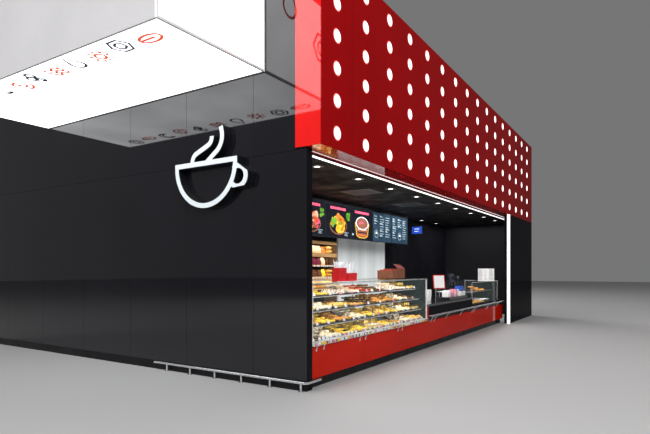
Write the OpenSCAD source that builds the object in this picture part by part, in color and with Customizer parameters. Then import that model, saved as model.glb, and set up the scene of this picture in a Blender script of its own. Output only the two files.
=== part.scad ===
// Corner cafe and bakery unit of a supermarket: a black glass front wall, a red lit fascia over a
// long open counter side, and a lit canopy over the front.
// Millimetres, +Z up. The origin is the centre of the corner post at floor level. The front wall runs
// to -X and faces -Y, and the counter side runs to +Y and faces +X.

/* [Walls] */
// Number of whole glass bays in the front wall
front_bays = 6; // [5:1:8]
// Width of one glass bay
bay_w = 1170; // [1000:10:1400]
// Width of the short bay at the corner
first_bay_w = 780; // [700:10:1100]
// Length of the counter side
unit_l = 11680; // [10200:10:14000]
// Width of the corner post
post_w = 150; // [120:5:200]
// Thickness of the front wall core and depth of the corner post
core_t = 118; // [90:2:160]
// Thickness of the hidden party walls
party_t = 130; // [90:5:200]
// Thickness of the wall behind the counter
back_t = 120; // [80:5:200]
// Distance from the counter face to the wall behind the counter
aisle_w = 2440; // [2300:10:3000]
// Thickness of the roof deck
roof_t = 120; // [80:5:200]
// Thickness of the wall glass
glass_t = 12; // [6:1:16]
// Gap between glass panels
seam = 4; // [2:1:8]
// Height of the plinth under the front glass
front_plinth_h = 116; // [80:2:160]
// Height of the seam across the front glass
seam_z = 2770; // [2500:10:3000]

/* [Fascia] */
// Height of the fascia underside
soffit_z = 2800; // [2650:10:3000]
// Height of the fascia box
fascia_h = 2280; // [1900:10:2700]
// How far the fascia stands out from the counter face
fascia_out = 210; // [150:5:300]
// Thickness of the fascia sheets
sheet_t = 12; // [8:1:20]
// Diameter of a round light
light_d = 180; // [120:5:240]
// Spacing of the lights along the fascia
light_pitch = 710; // [500:5:900]
// Spacing of the rows of lights
row_pitch = 380; // [300:5:450]
// Distance of the first column of lights from the corner
light_start = 340; // [250:5:450]
// Thickness of the flange behind each light
light_flange = 5; // [3:1:10]
// How far the flange reaches past the hole
light_lip = 12; // [6:1:20]
// How far a lens stands out of the sheet
light_rise = 3; // [2:0.5:6]

/* [Side wall] */
// Distance from the front to the near end of the black side wall
side_start = 8860; // [8200:10:9600]
// Thickness of the side wall
side_t = 130; // [100:5:180]
// Size of the light profile on the near corner of the side wall
corner_led = 60; // [40:2:80]
// Width of the light strip along the ceiling edge
edge_led_w = 35; // [20:1:60]
// Height of the light strip along the ceiling edge
edge_led_h = 22; // [15:1:40]

/* [Ceiling] */
// Height of the ceiling inside the unit
ceiling_z = 2790; // [2700:10:2800]
// Thickness of the ceiling tiles
ceiling_t = 40; // [20:5:60]
// Outer diameter of a downlight
spot_d = 190; // [120:5:240]
// Depth of a downlight below the ceiling
spot_h = 8; // [4:1:20]
// Distance from the front to the first downlight
spot_start = 1000; // [600:10:1400]
// Spacing of the downlights along the counter
spot_pitch = 1155; // [900:5:1400]
// Distance from the counter face to the first row of downlights
spot_row_a = 510; // [400:10:800]
// Distance from the wall behind the counter to the second row of downlights
spot_back = 170; // [130:10:400]
// Side of a square ceiling light
panel_light_w = 600; // [400:10:700]
// Distance from the counter face to the middle of the square lights
panel_light_x = 1100; // [1000:10:1300]
// Distance from the front to the middle of the first square light
panel_light_y = 3350; // [2000:10:3600]
// Distance between the square lights
panel_light_pitch = 2150; // [1200:10:2600]

/* [Counter] */
// Length of one module of the pastry case
case_module = 1217; // [900:1:1400]
// Number of modules in the pastry case
case_modules = 3; // [2:1:3]
// Length of the serving counter
service_l = 2600; // [1800:10:3000]
// Length of the small display
small_l = 2160; // [1500:10:2300]
// How far the counter runs on behind the side wall
counter_tail = 140; // [60:10:400]
// Number of front panels under the serving counter
service_modules = 2; // [1:1:3]
// Width of the red strip between the pastry case and the serving counter
end_strip_w = 72; // [50:2:110]
// Number of front panels under the small display
small_modules = 2; // [1:1:3]
// Depth of the counter, front to back
counter_d = 850; // [750:10:950]
// Height of the black plinth
plinth_h = 130; // [80:5:180]
// How far the plinth is set back
plinth_back = 40; // [20:5:100]
// Top of the red front panels
red_top = 488; // [400:2:490]
// Thickness of the front panels
panel_t = 20; // [12:1:30]
// Height of the pastry case deck
deck_z = 500; // [500:5:560]
// Thickness of the pastry case deck
deck_t = 40; // [25:1:60]
// How far the deck edge stands out
deck_out = 30; // [10:1:60]
// Top of the pastry case
case_top = 1235; // [1150:5:1350]
// Thickness of the case frame bars
bar = 18; // [14:1:30]
// Number of shelves over the deck
shelf_count = 3; // [2:1:4]
// Thickness of a shelf
shelf_t = 10; // [6:1:20]
// How far each shelf steps back from the one below
shelf_step = 55; // [0:5:80]
// Thickness of the case glass
case_glass_t = 8; // [5:1:12]
// Top of the serving counter
service_top = 780; // [740:5:900]
// Thickness of the serving counter top
slab_t = 40; // [25:1:60]
// Underside of the black band on the serving counter
band_z = 590; // [560:5:640]
// Height of the small display deck
small_deck_z = 620; // [600:5:660]
// Top of the small display
small_top = 1100; // [1000:5:1200]
// How far the shelf of the small display stands back from the counter face
small_shelf_back = 150; // [100:10:400]

/* [Rails] */
// Diameter of the tray rail tubes
rail_d = 22; // [16:1:30]
// Height of the tray rail
rail_z = 575; // [560:5:590]
// How far the outer tube stands out from the counter
rail_out = 60; // [40:5:120]
// Diameter of a bracket strut
strut_d = 14; // [8:1:20]
// Thickness of a bracket arm
arm_t = 6; // [4:1:10]
// Width of a bracket arm
arm_w = 20; // [16:1:40]
// Spacing of two brackets that stand as a pair
bracket_pair = 160; // [100:10:240]
// Diameter of the bumper rail
bumper_d = 30; // [20:1:36]
// Height of the bumper rail
bumper_z = 100; // [80:5:200]
// Gap between the wall and the centre of the bumper rail
bumper_gap = 30; // [28:1:60]
// Radius of the bend at the corner
bumper_bend = 50; // [40:5:55]
// Length of the bumper rail along the front wall
bumper_l = 2540; // [1200:10:4000]
// Length of the bumper rail round the corner
bumper_return = 240; // [150:10:600]
// Spacing of the bumper posts
bumper_pitch = 450; // [300:10:900]

/* [Back wall fittings] */
// Number of menu screens
screen_count = 5; // [3:1:6]
// Width of a menu screen
screen_w = 970; // [700:10:1000]
// Height of a menu screen
screen_h = 680; // [500:10:720]
// Thickness of a menu screen
screen_t = 60; // [30:5:100]
// Distance from the counter face to the menu screens
screen_x = 2000; // [1800:10:2200]
// Distance from the front to the first menu screen
screen_y = 2585; // [2000:5:2800]
// Height of the lower edge of the menu screens
screen_z = 2020; // [1950:5:2040]
// Gap between two menu screens
screen_gap = 8; // [2:1:20]
// Diameter of a menu hanger rod
hanger_d = 24; // [12:1:40]
// Distance from the front to the aisle monitor
monitor_y = 8600; // [8000:50:9500]
// Height of the underside of the aisle monitor
monitor_z = 2360; // [2200:10:2450]
// Width of the aisle monitor
monitor_w = 330; // [250:10:450]
// Height of the aisle monitor
monitor_h = 230; // [180:10:280]
// Thickness of the aisle monitor
monitor_t = 45; // [30:1:70]
// Distance from the front to the near edge of the pale wall panel
pale_y = 4690; // [4600:10:4900]
// Width of the pale wall panel
pale_w = 2270; // [1500:10:2600]
// Height of the top of the pale wall panel
pale_top = 2080; // [1900:10:2200]
// Thickness of the pale wall panel
pale_t = 40; // [20:5:60]
// Width of the bread rack
rack_w = 1350; // [900:10:1600]
// Depth of the bread rack
rack_d = 300; // [250:10:420]
// Height of the lowest shelf of the bread rack
rack_z = 990; // [900:10:1100]
// Spacing of the bread rack shelves
rack_pitch = 232; // [200:2:260]
// Number of boards in the bread rack, its top board among them
rack_shelves = 5; // [3:1:5]
// Thickness of a side of the bread rack
rack_side_t = 30; // [18:1:40]
// Thickness of a shelf of the bread rack
rack_shelf_t = 25; // [12:1:35]
// Gap between the bread rack and the pale wall panel
rack_gap = 480; // [300:10:700]

/* [Canopy and sign] */
// Number of glass bays that the canopy spans
canopy_bays = 4; // [3:1:5]
// Distance from the corner to the canopy
canopy_x = 600; // [500:10:900]
// Depth of the canopy, front to back
canopy_d = 1600; // [1200:10:2000]
// Height of the canopy underside
canopy_z = 3770; // [3500:10:4000]
// Thickness of the canopy panels
canopy_t = 15; // [8:1:30]
// Radius of the bowl of the cup sign
cup_r = 550; // [500:5:600]
// Width of the sign's strokes
stroke = 70; // [50:2:90]
// Depth of the sign's letter body
sign_t = 110; // [60:5:160]
// Thickness of the sign's lit face
sign_face_t = 6; // [3:1:12]
// Distance from the corner to the middle of the cup
cup_x = 1490; // [1350:10:1700]
// Height of the top of the cup's rim
cup_z = 2785; // [2600:5:3000]
// Height of the straight part of the cup's sides
cup_wall_h = 25; // [10:5:80]
// Radius of the sign's handle
handle_r = 128; // [115:1:140]
// Depth of the middle of the handle below the rim
handle_drop = 250; // [235:5:265]
// Radius of the two bends of the lower curl of steam
low_steam_r = 120; // [100:5:130]
// Length of the slanting run of the lower curl of steam
low_steam_l = 216; // [180:2:230]
// Radius of the bend of the higher curl of steam
high_steam_r = 230; // [200:5:240]
// Length of the slanting run of the higher curl of steam
high_steam_l = 216; // [180:2:230]

/* [Hidden] */
$fn = 48;

side_x = post_w / 2;
post_x = -post_w / 2;
core_y = -core_t / 2;
front_y = core_y - glass_t;
plinth_face_y = core_y - glass_t * 2 / 3;
inside_y = core_t / 2;
far_y = front_y + unit_l;
far_in_y = far_y - party_t;
front_w = first_bay_w + front_bays * bay_w;
left_x = side_x - front_w;
left_in_x = left_x + party_t;
top_z = soffit_z + fascia_h;
roof_z = top_z - roof_t;
fascia_x = side_x + fascia_out;
back_x = side_x - aisle_w;
side_y = front_y + side_start;
light_columns = floor((unit_l - 2 * light_start) / light_pitch) + 1;
light_rows = floor(fascia_h / row_pitch);
light_z = soffit_z + (fascia_h - (light_rows - 1) * row_pitch) / 2;
case_l = case_modules * case_module;
service_y = inside_y + case_l;
small_y = service_y + service_l;
small_end = small_y + small_l;
counter_end = side_y + counter_tail;
strip_y = service_y - end_strip_w;
case_end = strip_y - seam;
body_x = side_x - panel_t;
counter_back = side_x - counter_d;
shelf_pitch = (case_top - deck_z - deck_t) / (shelf_count + 1);
canopy_right = side_x - canopy_x;
canopy_left = canopy_right - canopy_bays * bay_w;
canopy_front = front_y - canopy_d;
clear = 0.3;

// A box between two opposite corners
module block(low, high) { translate(low) cube(high - low); }

// X of the left edge of glass bay i, counted from the corner
function bay_edge(i) = side_x - first_bay_w - i * bay_w;

// Glass panels of the front wall between two heights, the first one ending at right
module glass_row(right, low_z, high_z) {
    for (i = [0:front_bays]) {
        x_low = bay_edge(i) + (i == front_bays ? 0 : seam / 2);
        x_high = i == 0 ? right : bay_edge(i - 1) - seam / 2;
        block([x_low, front_y, low_z], [x_high, core_y, high_z]);
    }
}

// Walls

module corner_post() {
    color("#151517") block([post_x, core_y, 0], [side_x, inside_y, soffit_z]);
}

module front_wall() {
    color("#1b1b1e") block([left_x, core_y, 0], [post_x, inside_y, top_z]);
}

module front_glass() {
    color("#0b0b0e") {
        glass_row(side_x, front_plinth_h + seam, seam_z - seam / 2);
        glass_row(post_x, seam_z + seam / 2, top_z);
    }
}

module front_plinth() {
    color("#101012") block([left_x, plinth_face_y, 0], [side_x, core_y, front_plinth_h]);
}

module left_wall() {
    color("#2a2a2d") block([left_x, inside_y, 0], [left_in_x, far_y, top_z]);
}

module far_wall() {
    color("#2a2a2d") block([left_in_x, far_in_y, 0], [post_x, far_y, top_z]);
}

// Short return that joins the far wall to the side wall under the fascia
module far_return() {
    color("#1b1b1e") block([post_x, far_in_y, 0], [fascia_x - side_t, far_y, soffit_z]);
}

module back_wall() {
    color("#141416") block([back_x - back_t, inside_y, 0], [back_x, far_in_y, roof_z]);
}

module roof_deck() {
    color("#3a3a3d") block([left_in_x, inside_y, roof_z], [post_x, far_in_y, top_z]);
}

// Ceiling

module kiosk_ceiling() {
    color("#1c1c1f") block([back_x, inside_y, ceiling_z], [post_x, far_in_y, ceiling_z + ceiling_t]);
}

// One downlight: a bevelled trim ring round a flat lens
module downlight() {
    rotate_extrude() polygon([[0, -spot_h / 2], [spot_d * 0.36, -spot_h / 2], [spot_d * 0.4, -spot_h],
        [spot_d * 0.46, -spot_h], [spot_d / 2, 0], [0, 0]]);
}

module downlights() {
    color("white")
    for (x = [side_x - spot_row_a, back_x + spot_back])
        for (y = [spot_start:spot_pitch:unit_l - party_t - spot_d])
            translate([x, front_y + y, ceiling_z]) downlight();
}

module ceiling_panel_lights() {
    size = [panel_light_w, panel_light_w, spot_h];
    first = [side_x - panel_light_x, front_y + panel_light_y, ceiling_z - spot_h / 2];
    color("white")
    for (i = [0:1]) translate(first + [0, i * panel_light_pitch, 0]) cube(size, center = true);
}

// Fascia

// Places its children at the centre of each round light, facing +X
module at_lights() {
    for (column = [0:light_columns - 1], row = [0:light_rows - 1])
        translate([fascia_x, front_y + light_start + column * light_pitch, light_z + row * row_pitch])
            rotate([0, 90, 0]) children();
}

module fascia_face() {
    color("#c1121c")
    difference() {
        block([fascia_x - sheet_t, front_y, soffit_z], [fascia_x, far_y, top_z]);
        at_lights() translate([0, 0, -sheet_t - 1]) cylinder(d = light_d, h = sheet_t + 2);
    }
}

// One lens: a domed plug in the hole of the sheet, with a wider flange behind it
module lens() {
    plug_r = light_d / 2 - clear;
    flange_r = plug_r + light_lip;
    rotate_extrude() polygon([[0, -sheet_t - light_flange], [flange_r, -sheet_t - light_flange],
        [flange_r, -sheet_t], [plug_r, -sheet_t], [plug_r, -light_rise / 3],
        [plug_r - light_rise, light_rise / 2], [plug_r * 0.8, light_rise], [0, light_rise]]);
}

module fascia_lights() {
    color("white") at_lights() lens();
}

// The other five sides of the box: soffit, back, top and both ends
module fascia_casing() {
    rear_x = fascia_x - sheet_t;
    inner_y = [front_y + sheet_t + clear, far_y - sheet_t - clear];
    low = soffit_z + sheet_t + clear;
    high = top_z - sheet_t - clear;
    color("#a80f18") {
        for (y = [front_y, far_y - sheet_t]) block([post_x, y, soffit_z], [rear_x, y + sheet_t, top_z]);
        for (z = [soffit_z, top_z - sheet_t])
            block([post_x, inner_y[0], z], [rear_x, inner_y[1], z + sheet_t]);
        block([post_x, inner_y[0], low], [post_x + sheet_t, inner_y[1], high]);
    }
}

// Side wall and light strips

// The side wall, with its near outer corner cut away for the light profile
module side_wall() {
    color("#101014")
    linear_extrude(height = soffit_z)
        polygon([[fascia_x - side_t, side_y], [fascia_x - corner_led, side_y],
            [fascia_x - corner_led, side_y + corner_led], [fascia_x, side_y + corner_led],
            [fascia_x, far_y], [fascia_x - side_t, far_y]]);
}

// Corner profile with a rounded outer edge, from the floor to the fascia
module corner_light_strip() {
    edge_r = corner_led * 0.3;
    color("white")
    translate([fascia_x - corner_led, side_y, 0])
        linear_extrude(height = soffit_z)
            difference() {
                square(corner_led);
                translate([corner_led - edge_r, 0])
                    difference() {
                        translate([0, -1]) square([edge_r + 1, edge_r + 1]);
                        translate([0, edge_r]) circle(r = edge_r);
                    }
            }
}

module ceiling_light_strip() {
    color("white") block([post_x - edge_led_w, inside_y, ceiling_z - edge_led_h],
        [post_x, far_in_y, ceiling_z]);
}

// Counter

module counter_plinth() {
    color("#0d0d0f") block([counter_back + plinth_back, inside_y, 0],
        [body_x - plinth_back, counter_end, plinth_h]);
}

// The low body under everything, and the raised body under the serving counter
module counter_carcass() {
    color("#19191b") {
        block([counter_back, inside_y, plinth_h], [body_x, counter_end, deck_z]);
        block([counter_back, strip_y, deck_z + clear], [body_x, small_y, service_top - slab_t]);
    }
}

// Places its children at the start of each front panel, with the panel's length in $l
module front_modules() {
    for (i = [0:case_modules - 1])
        translate([0, inside_y + i * case_module, 0]) { $l = case_module; children(); }
    for (i = [0:service_modules - 1])
        translate([0, service_y + i * service_l / service_modules, 0])
            { $l = service_l / service_modules; children(); }
    for (i = [0:small_modules - 1])
        translate([0, small_y + i * small_l / small_modules, 0])
            { $l = small_l / small_modules; children(); }
    translate([0, small_end, 0]) { $l = counter_end - small_end; children(); }
}

// The panels hang a little below the carcass, and a strip stands over them at the end of the case
module counter_red_panels() {
    drop = 10;
    color("#c1121c") {
        front_modules()
            translate([body_x, seam / 2, plinth_h - drop])
                cube([panel_t, $l - seam, red_top - plinth_h + drop]);
        block([body_x, strip_y, red_top + seam], [side_x, service_y - seam, service_top - slab_t]);
    }
}

// Pastry case

module case_deck() {
    color("#c9cacc") block([counter_back, inside_y, deck_z], [side_x + deck_out, case_end, deck_z + deck_t]);
}

// Near face of frame bar i, which stands at an end of the case or between two modules
function bar_y(i) =
    i == 0 ? inside_y : i == case_modules ? case_end - bar : inside_y + i * case_module - bar / 2;

// The back has a post at each joint, and the front only one at each end, so that its panes meet
module case_posts() {
    color("#d8d8d6")
    for (i = [0:case_modules])
        for (x = i == 0 || i == case_modules ? [counter_back, side_x - bar] : [counter_back])
            block([x, bar_y(i), deck_z + deck_t], [x + bar, bar_y(i) + bar, case_top - bar]);
}

module case_rails() {
    color("#d8d8d6")
    for (x = [counter_back, side_x - bar])
        block([x, inside_y, case_top - bar], [x + bar, case_end, case_top]);
}

// Front panes in front of the posts, top panes between the rails, and one pane at the open end
module case_glass() {
    color("#cfe0e4", 0.35) {
        for (i = [0:case_modules - 1]) {
            low_y = inside_y + i * case_module + seam / 2;
            high_y = min(inside_y + (i + 1) * case_module - seam / 2, case_end);
            block([side_x, low_y, deck_z + deck_t], [side_x + case_glass_t, high_y, case_top]);
            block([counter_back + bar, low_y, case_top - case_glass_t], [side_x - bar, high_y, case_top]);
        }
        block([counter_back + bar, case_end - case_glass_t, deck_z + deck_t],
            [side_x - bar, case_end, case_top - case_glass_t - clear]);
    }
}

module case_shelves() {
    color("#b9bbbe")
    for (i = [0:case_modules - 1], level = [1:shelf_count]) {
        z = deck_z + deck_t + level * shelf_pitch;
        block([counter_back, bar_y(i) + bar, z - shelf_t],
            [side_x - bar - level * shelf_step, bar_y(i + 1), z]);
    }
}

// Serving counter

// Black band along the serving counter, carried on as a low strip under the small display
module service_band() {
    color("#0a0a0c") {
        block([body_x, service_y, band_z], [side_x, small_y, service_top - slab_t]);
        block([body_x, small_y + clear, band_z], [side_x, counter_end, small_deck_z]);
    }
}

module service_worktop() {
    color("#141417") block([counter_back, strip_y, service_top - slab_t], [side_x, small_y, service_top]);
}

// Small display

small_bar_x = side_x - case_glass_t - bar;

module small_case_base() {
    color("#0b0b0d") block([counter_back, small_y, deck_z], [body_x, counter_end, small_deck_z]);
}

module small_case_frame() {
    color("#bfc1c3")
    for (y = [small_y, small_end - bar])
        for (x = [counter_back, small_bar_x])
            block([x, y, small_deck_z], [x + bar, y + bar, small_top - case_glass_t]);
}

module small_case_glass() {
    pane_top = small_top - case_glass_t - clear;
    color("#cfe0e4", 0.35) {
        block([side_x - case_glass_t, small_y, small_deck_z], [side_x, small_end, pane_top]);
        block([counter_back, small_y, small_top - case_glass_t], [side_x, small_end, small_top]);
        for (y = [small_y, small_end - case_glass_t])
            block([counter_back + bar, y, small_deck_z], [small_bar_x, y + case_glass_t, pane_top]);
    }
}

module small_case_shelf() {
    z = (small_deck_z + small_top) / 2;
    color("#b9bbbe") block([counter_back, small_y + bar, z],
        [side_x - small_shelf_back, small_end - bar, z + shelf_t]);
}

// Rails

// Two tubes side by side along the serving counter and the small display
module tray_rail() {
    color("#c4c6c8")
    for (out = [rail_d / 2 + 6, rail_out])
        translate([side_x + out, service_y, rail_z])
            rotate([-90, 0, 0]) cylinder(d = rail_d, h = counter_end - service_y);
}

// A flat arm that ends at reach, and a strut that slopes down from it to a foot on the red panel
module bracket(arm_z, reach, foot_z) {
    rise = arm_z - foot_z;
    block([body_x, -arm_w / 2, arm_z - arm_t], [side_x + reach, arm_w / 2, arm_z]);
    intersection() {
        translate([side_x, 0, foot_z]) rotate([0, atan2(reach - strut_d, rise), 0])
            translate([0, 0, -strut_d]) cylinder(d = strut_d, h = norm([reach, rise]) + strut_d);
        block([side_x, -strut_d, foot_z - strut_d * 2], [side_x + reach, strut_d, arm_z - arm_t / 2]);
    }
    translate([side_x, 0, foot_z]) rotate([0, 90, 0]) cylinder(d = strut_d * 2, h = arm_t);
}

// Pairs stand at the ends of each counter section, with single brackets between them
module rail_brackets() {
    half = bracket_pair / 2;
    rail_ys = [service_y + half, service_y + 3 * half, service_y + service_l / 3,
        service_y + service_l * 2 / 3, small_y - half, small_y + half, (small_y + small_end) / 2,
        small_end - bracket_pair];
    color("#c4c6c8") {
        for (y = rail_ys)
            translate([0, y, 0]) bracket(rail_z - rail_d / 2, rail_out + rail_d / 2, red_top - strut_d * 1.5);
        for (i = [0:case_modules - 1], y = [half, 3 * half])
            translate([0, inside_y + i * case_module + y - (i == 0 ? 0 : bracket_pair), 0])
                bracket(deck_z, deck_out, red_top - strut_d * 3);
    }
}

// The low rail runs along the front glass, bends at the corner and ends a short way along the
// counter. The base plates of its posts stand close up to the front plinth.
module bumper_rail() {
    rail_x = side_x + bumper_gap;
    rail_y = front_y - bumper_gap;
    bend_x = rail_x - bumper_bend;
    bend_y = rail_y + bumper_bend;
    color("#b9bcc0") {
        translate([bend_x, bend_y, bumper_z]) rotate([0, 0, -90])
            rotate_extrude(angle = 90) translate([bumper_bend, 0]) circle(d = bumper_d);
        translate([bend_x, rail_y, bumper_z]) rotate([0, -90, 0]) cylinder(d = bumper_d, h = bumper_l);
        translate([rail_x, bend_y, bumper_z]) rotate([-90, 0, 0]) cylinder(d = bumper_d, h = bumper_return);
        for (x = [bumper_d:bumper_pitch:bumper_l]) translate([bend_x - x, rail_y, 0]) bumper_post();
    }
}

module bumper_post() {
    cylinder(d = bumper_d * 0.8, h = bumper_z);
    cylinder(r = plinth_face_y - front_y + bumper_gap - clear, h = arm_t);
}

// Back wall fittings

menu_front_x = side_x - screen_x;
menu_y = front_y + screen_y;
menu_step = screen_w + screen_gap;
menu_l = screen_count * menu_step - screen_gap;
menu_top = screen_z + screen_h;
menu_rail_h = 30;

module menu_screens() {
    color("#15161a")
    for (i = [0:screen_count - 1])
        block([menu_front_x - screen_t, menu_y + i * menu_step, screen_z],
            [menu_front_x, menu_y + i * menu_step + screen_w, menu_top]);
}

// A rail along the tops of the screens, hung from the ceiling by one rod over each screen
module menu_hangers() {
    color("#3a3a3e") {
        block([menu_front_x - screen_t, menu_y, menu_top],
            [menu_front_x, menu_y + menu_l, menu_top + menu_rail_h]);
        for (i = [0:screen_count - 1])
            translate([menu_front_x - screen_t / 2, menu_y + i * menu_step + screen_w / 2, menu_top])
                cylinder(d = hanger_d, h = ceiling_z - menu_top);
    }
}

// Small screen that faces along the aisle, on an arm from the back wall
module order_monitor() {
    y = front_y + monitor_y;
    arm = [60, 25, 60];
    color("#1a1c22") {
        translate([back_x + arm.x, y, monitor_z]) cube([monitor_w, monitor_t, monitor_h]);
        translate([back_x, y + (monitor_t - arm.y) / 2, monitor_z + (monitor_h - arm.z) / 2]) cube(arm);
    }
}

module pale_wall_panel() {
    color("#d9d9d7") translate([back_x, front_y + pale_y, 0]) cube([pale_t, pale_w, pale_top]);
}

rack_end = front_y + pale_y - rack_gap;
rack_start = rack_end - rack_w;
rack_top = rack_z + (rack_shelves - 1) * rack_pitch + rack_shelf_t;

module bread_rack_sides() {
    color("#6b4a2d")
    for (y = [rack_start, rack_end - rack_side_t])
        block([back_x, y, 0], [back_x + rack_d, y + rack_side_t, rack_top]);
}

module bread_rack_shelves() {
    color("#a9743f")
    for (i = [0:rack_shelves - 1])
        block([back_x, rack_start + rack_side_t, rack_z + i * rack_pitch],
            [back_x + rack_d, rack_end - rack_side_t, rack_z + i * rack_pitch + rack_shelf_t]);
}

// Canopy

// Lit underside and lit ends
module canopy_diffusers() {
    color("#f4f4f2") {
        block([canopy_left + canopy_t + clear, canopy_front + canopy_t, canopy_z],
            [canopy_right - canopy_t - clear, front_y, canopy_z + canopy_t]);
        for (x = [canopy_left, canopy_right - canopy_t])
            block([x, canopy_front, canopy_z], [x + canopy_t, front_y, top_z]);
    }
}

// Front board and top board between the ends
module canopy_cover() {
    low_x = canopy_left + canopy_t;
    high_x = canopy_right - canopy_t;
    color("#d5d5d3") {
        block([low_x, canopy_front, canopy_z], [high_x, canopy_front + canopy_t, top_z - canopy_t - clear]);
        block([low_x, canopy_front, top_z - canopy_t], [high_x, front_y, top_z]);
    }
}

// Cup sign

// Part of a ring between two angles, with round ends
module arc_band(r, w, from, to) {
    reach = 2 * r;
    middle = (from + to) / 2;
    intersection() {
        difference() {
            circle(r = r + w / 2);
            circle(r = r - w / 2);
        }
        polygon([[0, 0], reach * [cos(from), sin(from)], reach * 1.5 * [cos(middle), sin(middle)],
            reach * [cos(to), sin(to)]]);
    }
    for (a = [from, to]) translate(r * [cos(a), sin(a)]) circle(d = w);
}

// The steam's centre lines are lists of stations, each a point and its heading
bend_steps = 10;

// The station that lies straight ahead of station s
function ahead(s, run) = [s[0] + run * [cos(s[1]), sin(s[1])], s[1]];

// Stations along a bend from station s, to the left, or to the right where turn is negative
function bend(s, turn, r) = [for (i = [0:bend_steps]) let (h = s[1] + turn * i / bend_steps)
    [s[0] + sign(turn) * r * [sin(h) - sin(s[1]), cos(s[1]) - cos(h)], h]];

// A ribbon of width w along a list of stations
module ribbon(line, w) {
    right = [for (s = line) s[0] + w / 2 * [sin(s[1]), -cos(s[1])]];
    left = [for (i = [len(line) - 1:-1:0]) line[i][0] + w / 2 * [-sin(line[i][1]), cos(line[i][1])]];
    polygon(concat(right, left));
}

// Leaves the rim upright, bends over to a slant and bends up again
module low_curl(w) {
    foot = [[-225, -stroke / 2], 90];
    over = bend(ahead(foot, 25), -68, low_steam_r);
    up = bend(ahead(over[bend_steps], low_steam_l), 68, low_steam_r);
    ribbon(concat([foot], over, up), w);
}

// Leaves the rim aslant and bends up past the vertical
module high_curl(w) {
    foot = [[25, -32], 35];
    up = bend(ahead(foot, high_steam_l), 70, high_steam_r);
    ribbon(concat([foot], up, [ahead(up[bend_steps], 58)]), w);
}

// Outline of the sign, each stroke narrowed by inset on both sides
module cup_outline(inset) {
    w = stroke - 2 * inset;
    middle_r = cup_r - stroke / 2;
    // Rim and bowl
    translate([0, -stroke / 2]) {
        translate([-cup_r + inset, -w / 2]) square([2 * (cup_r - inset), w]);
        for (side = [-1, 1]) translate([side * middle_r - w / 2, -cup_wall_h]) square([w, cup_wall_h]);
        translate([0, -cup_wall_h]) arc_band(middle_r, w, 180, 360);
    }
    // Handle, an open ring that starts and ends in the bowl
    translate([cup_r + 8, -handle_drop]) arc_band(handle_r, w, -145, 115);
    low_curl(w);
    high_curl(w);
}

// The sign's outline stands on the front glass and faces -Y
module on_front_glass(depth, t) {
    translate([side_x - cup_x, front_y - depth, cup_z])
        rotate([90, 0, 0]) linear_extrude(height = t) children();
}

module cup_sign_body() {
    color("#0c0c0e") on_front_glass(0, sign_t) cup_outline(0);
}

module cup_sign_face() {
    color("white") on_front_glass(sign_t, sign_face_t) cup_outline(4);
}

corner_post();
front_wall();
front_glass();
front_plinth();
left_wall();
far_wall();
far_return();
back_wall();
roof_deck();
kiosk_ceiling();
downlights();
ceiling_panel_lights();
fascia_face();
fascia_lights();
fascia_casing();
side_wall();
corner_light_strip();
ceiling_light_strip();
counter_plinth();
counter_carcass();
counter_red_panels();
case_deck();
case_posts();
case_rails();
case_glass();
case_shelves();
service_band();
service_worktop();
small_case_base();
small_case_frame();
small_case_glass();
small_case_shelf();
tray_rail();
rail_brackets();
bumper_rail();
menu_screens();
menu_hangers();
order_monitor();
pale_wall_panel();
bread_rack_sides();
bread_rack_shelves();
canopy_diffusers();
canopy_cover();
cup_sign_body();
cup_sign_face();
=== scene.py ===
import math
import random

import bpy
from mathutils import Matrix, Vector


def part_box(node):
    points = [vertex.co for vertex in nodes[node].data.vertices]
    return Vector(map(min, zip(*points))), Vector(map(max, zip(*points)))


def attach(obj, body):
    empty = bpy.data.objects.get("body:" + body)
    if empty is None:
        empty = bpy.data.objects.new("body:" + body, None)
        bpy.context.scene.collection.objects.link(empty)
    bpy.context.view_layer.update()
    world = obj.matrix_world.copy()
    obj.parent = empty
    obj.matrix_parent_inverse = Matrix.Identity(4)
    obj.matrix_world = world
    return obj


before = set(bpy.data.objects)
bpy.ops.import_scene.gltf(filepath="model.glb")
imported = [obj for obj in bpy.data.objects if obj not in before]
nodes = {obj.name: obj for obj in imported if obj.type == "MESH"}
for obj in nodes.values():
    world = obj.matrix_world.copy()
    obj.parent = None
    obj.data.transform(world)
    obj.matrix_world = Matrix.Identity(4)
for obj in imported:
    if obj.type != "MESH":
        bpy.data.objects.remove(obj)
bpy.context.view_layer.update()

# Places taken from the frame, in metres
COUNTER_X, _, WORKTOP_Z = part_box("service_worktop")[1]
CASE_LOW, CASE_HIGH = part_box("case_rails")
DECK_LOW, DECK_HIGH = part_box("case_deck")
SHELF_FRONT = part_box("case_shelves")[1][0]
RACK_LOW, RACK_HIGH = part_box("bread_rack_shelves")
DISPLAY_LOW, DISPLAY_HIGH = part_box("small_case_glass")
SCREENS_LOW, SCREENS_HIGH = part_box("menu_screens")
CANOPY_LOW, CANOPY_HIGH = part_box("canopy_diffusers")
CEILING_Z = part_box("kiosk_ceiling")[0][2]
BACK_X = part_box("back_wall")[1][0]

# Sizes of the unit's own lights, which their finishes follow
SPOT_D = 0.19
SPOT_ROWS = 1.76
SPOT_PITCH = 1.155
SPOT_LIT_SHARE = 0.46
LENS_FLANGE = 0.102
LENS_PITCH = 0.71
LENS_ROW = 0.38
LENS_CORE = 0.064
LENS_RIM = 0.080
STRIP_LIT_SHARE = 0.55
PANEL_PITCH = 2.15
PANEL_MIDDLE_SHARE = 0.36
VENT_STEP = 0.012


# Material nodes

FINISH = {}


def new_material(name):
    material = bpy.data.materials.new(name)
    material.use_nodes = True
    FINISH[name] = material
    tree = material.node_tree
    return tree, tree.nodes["Principled BSDF"]


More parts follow.
